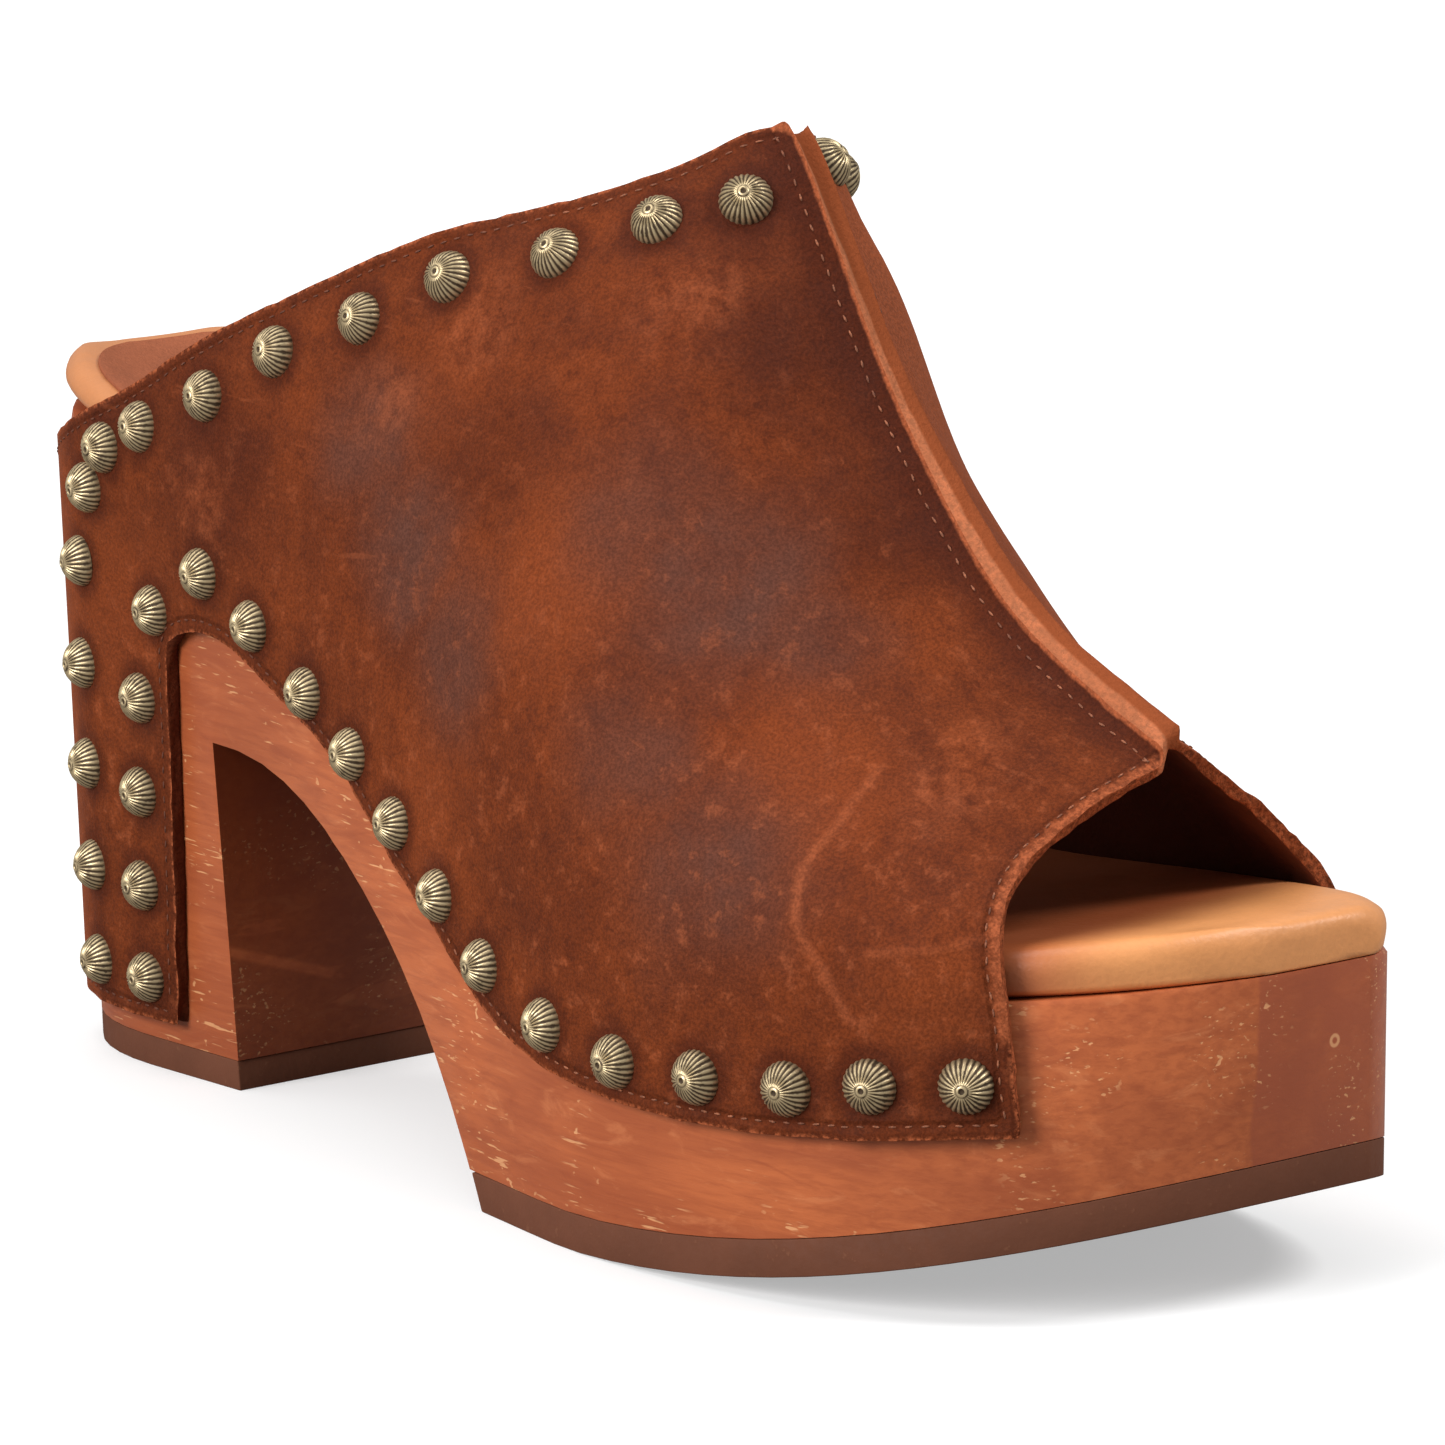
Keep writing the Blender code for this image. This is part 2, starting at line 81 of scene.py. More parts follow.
# Lengths in the tables are millimetres.
# Studs along the collar in front of those that stand over the wood: place along and up
COLLAR_STUDS = {
    "outer": ((23.7, 140.5), (14.2, 137.4), (0.7, 132.0), (-16.6, 127.3), (-31.7, 120.1),
              (-48.4, 113.7), (-63.2, 105.7)),
    "inner": ((23.5, 144.4), (19.0, 141.8), (4.0, 134.6), (-15.0, 128.8), (-31.0, 121.0),
              (-48.0, 114.2), (-63.0, 106.0)),
}

# Cloudy patches in the nubuck, on both halves; "out" is the distance from the seam's plane. The
# dark patch at x -58 mm is painted shade in a worn hollow.
PATCHES = {
    "kind": ("cool",) * 8 + ("dark",) * 6 + ("warm",) * 7 + ("pale",) * 6,
    "x": (-24, -12, 4, 32, 44, 56, 44, 62, 42, 57, 80, -58, 26, 2, 22, -8, 68, -2, -88, 94, 30,
          86, 83, -8, -21, 25, -63),
    "out": (37, 41, 45, 33, 31, 26, 46, 48, 6, 8, 4, 39, 6, 38, 41, 36, 36, 45, 36, 41, 9,
            27, 17, 31, 35, 19, 38),
    "z": (105, 91, 78, 100, 92, 85, 69, 57, 122, 105, 82, 92, 138, 105, 88, 112, 72, 54, 70, 42,
          135, 69, 75, 121, 111, 129, 89),
    "size": (14, 14, 14, 15, 17, 12, 14, 17, 20, 18, 16, 16, 12, 14, 15, 10, 15, 13, 22, 12, 6,
             9, 7, 8, 8, 8, 7),
    "strength": (.8, 1, .8, .7, 1, .7, .7, .9, 1, .8, .6, .8, .9, .6, .8, .4, .8, .7, .7, .8, 1,
                 .8, .6, .7, .7, .8, .6),
}

# Sharp creases on each half, with a painted highlight along the crest, from one place to another
CREASES = {
    "x0": (75, 75, 77, 101),
    "z0": (71, 59.5, 53, 52),
    "x1": (75, 77, 87, 88),
    "z1": (59.5, 53, 40, 50),
    "width": (1.3, 1.5, 1.3, 1.4),
    "strength": (.55, .8, .7, .4),
}

# Soft hollows of the worn upper on each half, from one place to another
TROUGHS = {
    "x0": (44, -60, -30, 60, 10, 75, 77, 70),
    "z0": (118, 100, 112, 60, 60, 71, 54, 74),
    "x1": (84, -34, -6, 92, 52, 77, 86, 72),
    "z1": (82, 74, 74, 70, 66, 54, 42, 48),
    "width": (9, 12, 14, 9, 16, 3.5, 3.5, 6),
    "depth": (.5, .6, .5, .35, -.4, -.35, -.35, .5),
}

# How far the leather is moved: uneven all over, off the wood at the opening, up and back at
# the seam's end, up along the collar, and the inner half's swelling and turned-out collar
MOVES = {"uneven": .35, "finely_uneven": .16, "flare": .8, "seam_end": 4.2, "collar": 1.1,
         "swell": 3.2, "turned": 2}


def srgb(red, green, blue):
    """Linear colour from the 0 to 255 values seen on a screen."""
    return tuple(((v / 255 + 0.055) / 1.055) ** 2.4 if v > 10 else v / 255 / 12.92
                 for v in (red, green, blue))


def colour(name, description, value):
    return FloatVectorProperty(name=name, description=description, subtype="COLOR", size=3,
                               min=0, max=1, default=srgb(*value))


def length(name, description, millimetres):
    return FloatProperty(name=name, description=description, default=millimetres * MM,
                         subtype="DISTANCE", unit="LENGTH")


class ClogLeather(PropertyGroup):
    """Upper, lining and stitches."""
    body: colour("Body", "Oiled nubuck in the middle of a panel", (108, 48, 19))
    # dark mottles and edges, and the colour of painted shade on the upper
    deep_and_shade: colour("Deep", "Dark mottles and edges", (68, 26, 11))
    cool: colour("Cool patch", "Worn grey-purple patches", (86, 53, 43))
    warm: colour("Warm patch", "Orange patches", (127, 59, 26))
    # cut edges, and the colour of painted sheen and highlights on the nubuck
    raw_and_sheen: colour("Raw edge", "Cut edge of the leather", (160, 84, 50))
    lining: colour("Lining", "Smooth inside of the upper", (104, 52, 33))
    thread: colour("Thread", "Stitching", (158, 94, 62))
    nap: length("Nap", "Size of the nubuck's fine grain", 0.45)
    stitch_inset: length("Stitch inset", "Distance of the stitches from an edge", 1.9)
    ridge_inset: length("Ridge inset", "Distance of the stitches from the seam's cut edge", 3.6)
    stitch_length: length("Stitch length", "Length of one stitch", 1.25)
    stitch_pitch: length("Stitch pitch", "From one stitch to the next", 2.3)
    thread_width: length("Thread width", "Width of one stitch", 0.34)


class ClogWood(PropertyGroup):
    """Wooden sole."""
    stain: colour("Stain", "Reddish stain on plain wood", (184, 100, 58))
    grain: colour("Grain", "Darker grain lines", (142, 68, 40))
    fleck: colour("Fleck", "Pale worn flecks", (226, 168, 118))
    # darker at the toe: a painted reflection
    reflection: colour("Toe band", "Darker stain at the toe", (156, 80, 52))
    edge: length("Edge", "Rounding of the wood's edges", 0.35)


class ClogTrim(PropertyGroup):
    """Footbed, rubber and studs."""
    tan: colour("Tan", "Footbed leather", (216, 145, 87))
    suede: colour("Suede", "Heel pad", (146, 84, 58))
    rubber: colour("Rubber", "Outsole and heel lift", (104, 62, 44))
    metal: colour("Metal", "Lit ribs of the studs", (198, 178, 140))
    patina: colour("Patina", "Grooves between the ribs", (66, 50, 32))
    pad_margin: length("Pad margin", "Heel pad inside the footbed's edge", 3.9)
    pad_thickness: length("Pad thickness", "Suede of the heel pad", 0.6)
    stud_width: length("Stud width", "Across a stud", 7.7)
    stud_height: length("Stud height", "Height of a stud", 3.5)
    stud_ribs: IntProperty(name="Ribs", description="Ribs round a stud", default=26, min=8)


class ClogStage(PropertyGroup):
    """Floor, light and camera."""
    azimuth: FloatProperty(name="Azimuth", description="Camera's turn from the outer side",
                           default=math.radians(49.1), subtype="ANGLE", unit="ROTATION")
    elevation: FloatProperty(name="Elevation", description="Camera's height angle",
                             default=math.radians(11.2), subtype="ANGLE", unit="ROTATION")
    camera_place: FloatVectorProperty(name="Camera", description="Camera's place", size=3,
                                      subtype="TRANSLATION", unit="LENGTH",
                                      default=(0.8788, -0.7476, 0.2915))
    lens: FloatProperty(name="Lens", description="Focal length in millimetres", default=205.9)


def only(obj):
    """Select one object and make it active."""
    bpy.ops.object.select_all(action="DESELECT")
    obj.select_set(True)
    bpy.context.view_layer.objects.active = obj


def apply_all(obj):
    only(obj)
    for modifier in list(obj.modifiers):
        bpy.ops.object.modifier_apply(modifier=modifier.name)


def shape(add, name="pattern", **settings):
    """Add one of Blender's basic shapes."""
    bpy.ops.object.select_all(action="DESELECT")
    add(**settings)
    made = bpy.context.object
    made.name = made.data.name = name
    return made


def modify(obj, kind, **settings):
    """Add a modifier."""
    modifier = obj.modifiers.new(kind.lower(), kind)
    for name, value in settings.items():
        setattr(modifier, name, value)


def bevel(obj, width, degrees, **settings):
    """Round the edges that bend more than an angle."""
    modify(obj, "BEVEL", width=width, limit_method="ANGLE", angle_limit=math.radians(degrees),
           **{"segments": 2, **settings})


def grouped(obj, name, weigh):
    """A vertex group with a weight for each vertex."""
    group = obj.vertex_groups.new(name=name)
    for vertex in obj.data.vertices:
        group.add([vertex.index], weigh(vertex), "REPLACE")


@contextmanager
def edited(mesh):
    """The mesh as a bmesh, written back at the end."""
    body = bmesh.new()
    body.from_mesh(mesh)
    yield body
    body.to_mesh(mesh)
    body.free()


def surface_of(mesh, last_material=None):
    """A search tree of the mesh's faces, or only of those up to a material."""
    body = bmesh.new()
    body.from_mesh(mesh)
    if last_material is not None:
        other = [f for f in body.faces if f.material_index > last_material]
        bmesh.ops.delete(body, geom=other, context="FACES")
    tree = BVHTree.FromBMesh(body)
    body.free()
    return tree


def copies(name, pattern, places, material):
    """One object with a copy of the pattern at each place; the object is made active."""
    joined = bmesh.new()
    for place in places:
        start = len(joined.verts)
        joined.from_mesh(pattern.data)
        joined.verts.ensure_lookup_table()
        bmesh.ops.transform(joined, matrix=place, verts=joined.verts[start:])
    mesh = bpy.data.meshes.new(name)
    joined.to_mesh(mesh)
    joined.free()
    mesh.materials.append(material)
    made = bpy.data.objects.new(name, mesh)
    bpy.context.scene.collection.objects.link(made)
    only(made)
    return made


def cad_copy(node, name):
    """A copy of a CAD node as one closed mesh of mostly four-sided faces."""
    obj = bpy.data.objects.new(name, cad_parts[node].data.copy())
    bpy.context.scene.collection.objects.link(obj)
    obj.data.materials.clear()
    only(obj)
    if obj.data.has_custom_normals:
        bpy.ops.mesh.customdata_custom_splitnormals_clear()
    bpy.ops.object.mode_set(mode="EDIT")
    bpy.ops.mesh.select_all(action="SELECT")
    bpy.ops.mesh.remove_doubles(threshold=1e-5)
    bpy.ops.mesh.tris_convert_to_quads(face_threshold=1.2, shape_threshold=1.2)
    bpy.ops.object.mode_set(mode="OBJECT")
    return obj


def attach(piece, slot, *nodes):
    """The piece rides on the shoe and stands for CAD nodes, which are hidden; the slot is not
    used.
    """
    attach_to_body(piece, "root")
    if nodes:
        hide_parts(*nodes)


def float_attribute(mesh, name, values):
    attribute = mesh.attributes.new(name, "FLOAT", "POINT")
    attribute.data.foreach_set("value", values)


def smooth(t):
    t = min(max(t, 0.0), 1.0)
    return t * t * (3 - 2 * t)


def rising(value, start, length):
    """From 0 to 1 over a length; start and length are millimetres."""
    return smooth((value - start * MM) / (length * MM))


class Graph:
    """Nodes of a material or a node group, added from left to right.

    The first node gives the sockets that the graph starts from; textures follow one of them."""

    def __init__(self, tree, source, place):
        self.tree = tree
        self.column = 0
        self.given = self.add(source).outputs
        self.place = self.given[place]

    def add(self, kind, inputs=None, **settings):
        made = self.tree.nodes.new(kind)
        for name, value in settings.items():
            setattr(made, name, value)
        self.fill(made, inputs or {})
        made.location = (self.column * 180, -(self.column % 4) * 160)
        self.column += 1
        return made

    def fill(self, node, inputs):
        for socket, value in inputs.items():
            self.feed(node.inputs[socket], value)

    def feed(self, socket, value):
        if isinstance(value, bpy.types.NodeSocket):
            self.tree.links.new(value, socket)
        else:
            socket.default_value = value

    def group(self, name, **inputs):
        made = self.add("ShaderNodeGroup", node_tree=bpy.data.node_groups[name])
        self.fill(made, inputs)
        return made.outputs

    def mix(self, factor, a, b, blend="MIX"):
        a, b = (c if isinstance(c, bpy.types.NodeSocket) else (*c, 1) for c in (a, b))
        return self.add("ShaderNodeMix", {0: factor, 6: a, 7: b}, data_type="RGBA",
                        blend_type=blend).outputs[2]

    def maths(self, operation, *values):
        """One maths node after another, from the first value to the last."""
        result, *others = values
        for value in others or (0.0,):
            result = self.add("ShaderNodeMath", {0: result, 1: value},
                              operation=operation).outputs[0]
        return result

    def plus(self, *values):
        return self.maths("ADD", *values)

    def minus(self, *values):
        return self.maths("SUBTRACT", *values)

    def times(self, *values):
        return self.maths("MULTIPLY", *values)

    def most(self, *values):
        return self.maths("MAXIMUM", *values)

    def gap(self, a, b):
        """Distance between two values."""
        return self.maths("ABSOLUTE", self.minus(a, b))

    def vectors(self, operation, a, b=(0, 0, 0)):
        """Vector maths; a distance, a dot product or a length is a plain value."""
        made = self.add("ShaderNodeVectorMath", {0: a, 1: b}, operation=operation)
        single = operation in ("DISTANCE", "DOT_PRODUCT", "LENGTH")
        return made.outputs["Value" if single else "Vector"]

    def scaled(self, vector, factor):
        return self.add("ShaderNodeVectorMath", {0: vector, "Scale": factor},
                        operation="SCALE").outputs[0]

    def parts(self):
        return tuple(self.add("ShaderNodeSeparateXYZ", {0: self.place}).outputs)

    def attribute(self, name):
        return self.add("ShaderNodeAttribute", attribute_name=name).outputs["Fac"]

    def ramp(self, value, low, high, to_low=0.0, to_high=1.0):
        made = self.add("ShaderNodeMapRange", {"Value": value, "From Min": low, "From Max": high,
                                               "To Min": to_low, "To Max": to_high},
                        interpolation_type="SMOOTHSTEP")
        return made.outputs["Result"]

    def noise(self, scale, detail=2.0, roughness=.5, distortion=0.0, place=None):
        made = self.add("ShaderNodeTexNoise", {
            "Vector": place or self.place, "Scale": scale, "Detail": detail,
            "Roughness": roughness, "Distortion": distortion})
        return made.outputs["Fac"]

    def streaks(self, scale, *character):
        """Noise with a scale of its own along each axis."""
        stretched = self.add("ShaderNodeMapping", {"Vector": self.place, "Scale": scale})
        return self.noise(1, *character, place=stretched.outputs[0])

    def bump(self, height, strength, distance, **more):
        return self.add("ShaderNodeBump", {"Strength": strength, "Distance": distance,
                                           "Height": height, **more}).outputs[0]


class Finish(Graph):
    """A material whose base colour is painted layer by layer."""

    def __init__(self, name, tone):
        self.material = bpy.data.materials.new(name)
        self.material.use_nodes = True
        super().__init__(self.material.node_tree, "ShaderNodeTexCoord", "Object")
        self.shader = self.tree.nodes["Principled BSDF"]
        self.shader.location = (3600, 0)
        self.tone = tone

    def paint(self, mask, tone, strength=1.0):
        mask = mask if strength == 1 else self.times(mask, strength)
        self.tone = self.mix(mask, self.tone, tone)

    def light(self, value):
        """Multiply the colour by a grey value."""
        grey = self.add("ShaderNodeCombineColor", {0: value, 1: value, 2: value}).outputs[0]
        self.tone = self.mix(1.0, self.tone, grey, "MULTIPLY")

    def done(self, inputs):
        """Feed the shader; gives the material."""
        self.fill(self.shader, {"Base Color": self.tone, **inputs})
        return self.material


def toned(tone, *shares):
    """A colour times one share, or times one share for each channel."""
    return tuple(min(1, value * share) for value, share in zip(tone, shares * 3))


def new_group(name, inputs, outputs):
    """An empty shader group with named sockets; gives its graph and the output's sockets."""
    tree = bpy.data.node_groups.new(name, "ShaderNodeTree")
    kinds = {"v": "NodeSocketVector", "f": "NodeSocketFloat"}
    for direction, sockets in (("INPUT", inputs), ("OUTPUT", outputs)):
        for socket, kind in sockets.items():
            tree.interface.new_socket(socket, in_out=direction, socket_type=kinds[kind])
    return Graph(tree, "NodeGroupInput", "Place"), tree.nodes.new("NodeGroupOutput").inputs


def soft_spot_group():
    """A round spot with soft sides."""
    graph, out = new_group("soft_spot", {"Place": "v", "Centre": "v", "Size": "f"},
                           {"Mask": "f"})
    away = graph.vectors("DISTANCE", graph.place, graph.given["Centre"])
    share = graph.maths("DIVIDE", away, graph.given["Size"])
    graph.feed(out["Mask"], graph.ramp(share, 1.25, .25))


def crease_group():
    """A thin line between two places, with soft sides."""
    graph, out = new_group("crease_line", {"Place": "v", "Start": "v", "End": "v", "Width": "f"},
                           {"Mask": "f"})
    start, end, width = (graph.given[name] for name in ("Start", "End", "Width"))
    here = graph.vectors("SUBTRACT", graph.place, start)
    run = graph.vectors("SUBTRACT", end, start)
    share = graph.maths("DIVIDE", graph.vectors("DOT_PRODUCT", here, run),
                        graph.vectors("DOT_PRODUCT", run, run))
    share = graph.maths("MINIMUM", graph.most(share, 0.0), 1.0)
    away = graph.vectors("DISTANCE", here, graph.scaled(run, share))
    graph.feed(out["Mask"], graph.ramp(graph.maths("DIVIDE", away, width), 1.0, .1))


def nap_group():
    """Fine speckle and bump of brushed leather."""
    graph, out = new_group("nap", {"Place": "v", "Grain": "f", "Strength": "f"},
                           {"Speck": "f", "Normal": "v"})
    scale = graph.maths("DIVIDE", 1.0, graph.given["Grain"])
    fine = graph.noise(scale, 4, .65)
    coarse = graph.noise(graph.times(scale, .18), 3, .6)
    height = graph.plus(fine, graph.times(coarse, 1.4))
    graph.feed(out["Speck"], fine)
    graph.feed(out["Normal"], graph.bump(height, graph.given["Strength"], .4 * MM))


def grain_group():
    """Lengthwise wood grain: broad figure, fine lines and pale worn flecks."""
    graph, out = new_group("wood_grain", {"Place": "v"},
                           {"Figure": "f", "Line": "f", "Fleck": "f", "Height": "f"})
    figure = graph.streaks((14, 60, 90), 4, .55, .8)
    lines = graph.streaks((40, 520, 900), 5, .6, .3)
    dashes = graph.streaks((150, 900, 1700))
    dots = graph.streaks((520, 620, 820), 1)
    marks = graph.most(graph.ramp(dashes, .62, .70), graph.ramp(dots, .70, .76))
    fleck = graph.times(marks, graph.ramp(graph.noise(60, 3), .48, .60))
    graph.feed(out["Figure"], graph.ramp(figure, .32, .70))
    graph.feed(out["Line"], graph.ramp(lines, .38, .66))
    graph.feed(out["Fleck"], fleck)
    graph.feed(out["Height"], graph.minus(lines, graph.times(fleck, .8)))


def patch_masks(finish, parts):
    """Masks of the cloudy patches by kind and of the creases.

    Both halves share them: the place is folded over the seam's plane."""
    place_x, place_y, place_z = parts
    wobble = finish.add("ShaderNodeTexNoise", {"Vector": finish.place, "Scale": 55.0,
                                               "Detail": 3.0}).outputs["Color"]
    drift = finish.scaled(finish.vectors("SUBTRACT", wobble, (.5, .5, .5)), 18 * MM)
    folded = finish.add("ShaderNodeCombineXYZ", {
        0: place_x, 1: finish.gap(place_y, RIDGE_Y), 2: place_z})
    folded = finish.vectors("ADD", folded.outputs[0], drift)
    masks = dict.fromkeys((*PATCHES["kind"], "crease"), 0.0)
    for kind, x, y, z, size, strength in zip(*PATCHES.values()):
        spot = finish.group("soft_spot", Place=folded, Centre=(x * MM, y * MM, z * MM),
                            Size=size * MM)[0]
        masks[kind] = finish.most(masks[kind], finish.times(spot, strength))
    flat = finish.vectors("ADD", finish.place, finish.scaled(drift, .25))
    flat = finish.vectors("MULTIPLY", flat, (1, 0, 1))
    for x0, z0, x1, z1, width, strength in zip(*CREASES.values()):
        line = finish.group("crease_line", Place=flat, Start=(x0 * MM, 0, z0 * MM),
                            End=(x1 * MM, 0, z1 * MM), Width=width * MM)[0]
        masks["crease"] = finish.most(masks["crease"], finish.times(line, strength))
    return masks


def nubuck_material(leather):
    """Oiled nubuck, cloudy and worn."""
    finish = Finish("oiled_nubuck", leather.deep_and_shade)
    ramp, times, most = finish.ramp, finish.times, finish.most
    parts = finish.parts()
    masks = patch_masks(finish, parts)
    mottle = finish.noise(95, 4, .6)
    small = finish.noise(330, 4, .65)
    finish.paint(ramp(finish.noise(34, 3, .55), .34, .62, .62, 1), leather.body)
    finish.paint(ramp(mottle, .48, .75, 0, .4), leather.warm)
    finish.paint(ramp(mottle, .5, .3, 0, .3), leather.deep_and_shade)
    finish.paint(ramp(small, .48, .34, 0, .38), leather.deep_and_shade)
    finish.paint(masks["warm"], leather.warm, .75)
    finish.paint(times(masks["cool"], ramp(mottle, .30, .62, .45, 1)), leather.cool, .85)
    # dark patches; the one at x -58 mm is painted shade in a hollow
    finish.paint(masks["dark"], leather.deep_and_shade, .7)
    finish.paint(times(masks["pale"], ramp(small, .36, .60, .08, .40)), leather.raw_and_sheen)
    # painted highlight along the creases' crests
    finish.paint(times(masks["crease"], ramp(small, .30, .55, .2, .6)), leather.raw_and_sheen)
    # brushed specks, most of them low on the shoe and down the heel
    low = ramp(parts[2], .120, .040, .10, .34)
    finish.paint(times(ramp(small, .54, .68), low), leather.raw_and_sheen)
    # edges are darker; painted shade at the seam's foot, and painted shade with dirt round each
    # stud
    edge = finish.attribute("edge_distance")
    finish.paint(most(ramp(edge, 6 * MM, 1 * MM, 0, .38),
                      ramp(finish.attribute("stud_distance"), 7.4 * MM, 4.2 * MM, 0, .72),
                      times(finish.attribute("ridge_foot"), .75)), leather.deep_and_shade)
    # a rough light rim along the toe opening, the seam's fold and the very edge
    rough = finish.noise(900, 3, .7)
    ragged = finish.plus(finish.attribute("opening_distance"),
                         times(finish.noise(620, 4, .7), 3.4 * MM))
    fuzz = finish.plus(finish.attribute("ridge_distance"),
                       times(finish.noise(420, 3, .6), .8 * MM))
    rim = times(ramp(ragged, 4 * MM, 2.6 * MM), ramp(rough, .38, .6, .35, .9))
    fold = times(ramp(fuzz, 1.3 * MM, .8 * MM), ramp(rough, .3, .6, .6, 1))
    cut = times(ramp(edge, .8 * MM, .2 * MM), ramp(rough, .42, .6))
    finish.paint(most(rim, fold, cut), leather.raw_and_sheen)
    # painted highlight: the inner half is paler beside the seam, more so higher up
    beside = finish.minus(parts[1], RIDGE_Y)
    finish.paint(times(ramp(beside, 1.2 * MM, 3 * MM), ramp(beside, 26 * MM, 8 * MM),
                       ramp(parts[2], .096, .120, .25, .62)), leather.raw_and_sheen)
    nap = finish.group("nap", Place=finish.place, Grain=leather.nap, Strength=.6)
    finish.light(ramp(nap["Speck"], .36, .64, .78, 1.2))
    # faint scuffs along the shoe
    finish.paint(ramp(finish.streaks((60, 900, 420), 3, .6, .4), .67, .75, 0, .2), leather.raw_and_sheen)
    # painted sheen: paler towards grazing angles
    facing = finish.add("ShaderNodeLayerWeight", {"Blend": .5}).outputs["Facing"]
    finish.paint(ramp(facing, .62, 1.0, 0, .45), leather.raw_and_sheen)
    groove = ramp(finish.gap(edge, leather.stitch_inset), .9 * MM, .1 * MM, 0, -1)
    relief = finish.plus(groove, masks["crease"])
    return finish.done({
        "Roughness": ramp(mottle, .3, .7, .62, .80), "Specular IOR Level": .1,
        "Sheen Weight": .02, "Sheen Roughness": .4, "Sheen Tint": (*srgb(230, 120, 70), 1),
        "Normal": finish.bump(relief, .6, .5 * MM, Normal=nap["Normal"])})


def plain_leather(name, tint, grain, strength, roughness, variation):
    """Smooth or suede leather: one colour with soft clouds and a grain."""
    finish = Finish(name, tint)
    cloud = finish.noise(60, 3)
    nap = finish.group("nap", Place=finish.place, Grain=grain, Strength=strength)
    finish.light(finish.plus(
        finish.ramp(cloud, .3, .7, 1 - variation, 1 + variation * .6),
        finish.ramp(nap["Speck"], .3, .7, -variation * .5, variation * .5)))
    finish.done({"Roughness": finish.ramp(cloud, .3, .7, roughness - .05, roughness + .08),
                 "Normal": nap["Normal"]})
    return finish


def raw_edge_material(leather):
    """Cut edge: fibrous and light; low on the shoe burnished dark and painted in shade; painted
    shade in the seam's gap.
    """
    finish = Finish("raw_leather_edge", toned(leather.raw_and_sheen, .36))
    ramp, times = finish.ramp, finish.times
    fibre = finish.noise(1400, 3, .7)
    finish.paint(ramp(fibre, .34, .66), toned(leather.raw_and_sheen, 1.15))
    finish.paint(ramp(finish.noise(180, 3), .4, .65, 0, .5), leather.body)
    x, y, z = finish.parts()
    # low at the heel and the front: burnished dark, with painted shade where the edge faces away
    # from the light
    heel = times(ramp(x, -.050, -.070), ramp(z, .098, .090))
    front = times(ramp(x, .080, .060), ramp(z, .062, .048))
    finish.paint(finish.most(heel, front), leather.deep_and_shade, .85)
    # the seam: painted shade in the gap at its top, light leather with the inner half warmer
    off_seam = finish.gap(y, RIDGE_Y)
    gap = times(ramp(off_seam, .9 * MM, .3 * MM), ramp(z, .122, .136))
    finish.paint(gap, toned(leather.deep_and_shade, .2), .95)
    seam = times(ramp(off_seam, 2.6 * MM, 2.2 * MM), ramp(z, .064, .068))
    inner = ramp(finish.minus(y, RIDGE_Y), -.6 * MM, -.1 * MM)
    finish.paint(seam, srgb(214, 136, 96), .35)
    finish.paint(times(inner, seam), leather.warm, .82)
    return finish.done({"Roughness": .9, "Specular IOR Level": .1,
                        "Normal": finish.bump(fibre, .8, .4 * MM)})


def wood_material(name, wood, worn=0.0, shade_depth=0.0):
    """Stained wood under varnish; worn is how many pale flecks an edge shows, and the last
    argument is how dark the painted shade under the arch is.
    """
    finish = Finish(name, wood.stain)
    ramp, times = finish.ramp, finish.times
    grain = finish.group("wood_grain", Place=finish.place)
    finish.paint(grain["Figure"], wood.grain, .62)
    finish.paint(grain["Line"], wood.grain, .42)
    # rubbed streaks that wander round the arch
    swirl = finish.streaks((55, 90, 210), 5, .62, 1.6)
    finish.paint(ramp(swirl, .54, .70, 0, .34), srgb(208, 128, 82))
    finish.paint(ramp(swirl, .44, .30, 0, .4), wood.grain)
    x, y, z = finish.parts()
    finish.paint(ramp(x, -.030, -.075, 0, .35), wood.grain)
    # painted dark reflection at the toe, from a wavering line inwards
    across = finish.plus(y, times(finish.noise(70, 2), 4 * MM))
    finish.paint(times(ramp(across, 4.8 * MM, 5.7 * MM), ramp(across, .034, .020, .4, 1),
                       ramp(x, .100, .112), ramp(finish.noise(160, 3), .3, .6, .7, 1)),
                 wood.reflection)
    # pale flecks, with a small ring mark at the toe
    away = finish.vectors("DISTANCE", finish.place, RING_MARK)
    fleck = finish.most(grain["Fleck"], ramp(finish.gap(away, .7 * MM), .4 * MM, .1 * MM))
    if worn:
        chips = finish.streaks((300, 420, 700), 3)
        fleck = finish.most(fleck, ramp(chips, .56 - worn, .72))
    finish.paint(fleck, wood.fleck, .65)
    if shade_depth:
        # painted shade on the heel's front face under the arch, darker at the top under the
        # platform
        flat = finish.vectors("MULTIPLY", finish.place, (0, 1, 1))
        split = finish.group("crease_line", Place=flat, Start=(0, -24 * MM, 21.5 * MM),
                             End=(0, -5 * MM, 15.5 * MM), Width=1.2 * MM)[0]
        streak = ramp(finish.streaks((60, 45, 260), 3, .5, 1.2), .60, .68, 0, .2)
        shade = finish.minus(ramp(z, .010, .060, shade_depth - .34, shade_depth + .15),
                             times(streak, ramp(z, .040, .020)), times(split, .55))
        finish.paint(shade, toned(wood.grain, .34, .22, .16))
    return finish.done({"Roughness": ramp(grain["Figure"], 0, 1, .34, .44),
                        "Specular IOR Level": .25, "Coat Weight": .1, "Coat Roughness": .25,
                        "Normal": finish.bump(grain["Height"], .25, .3 * MM)})


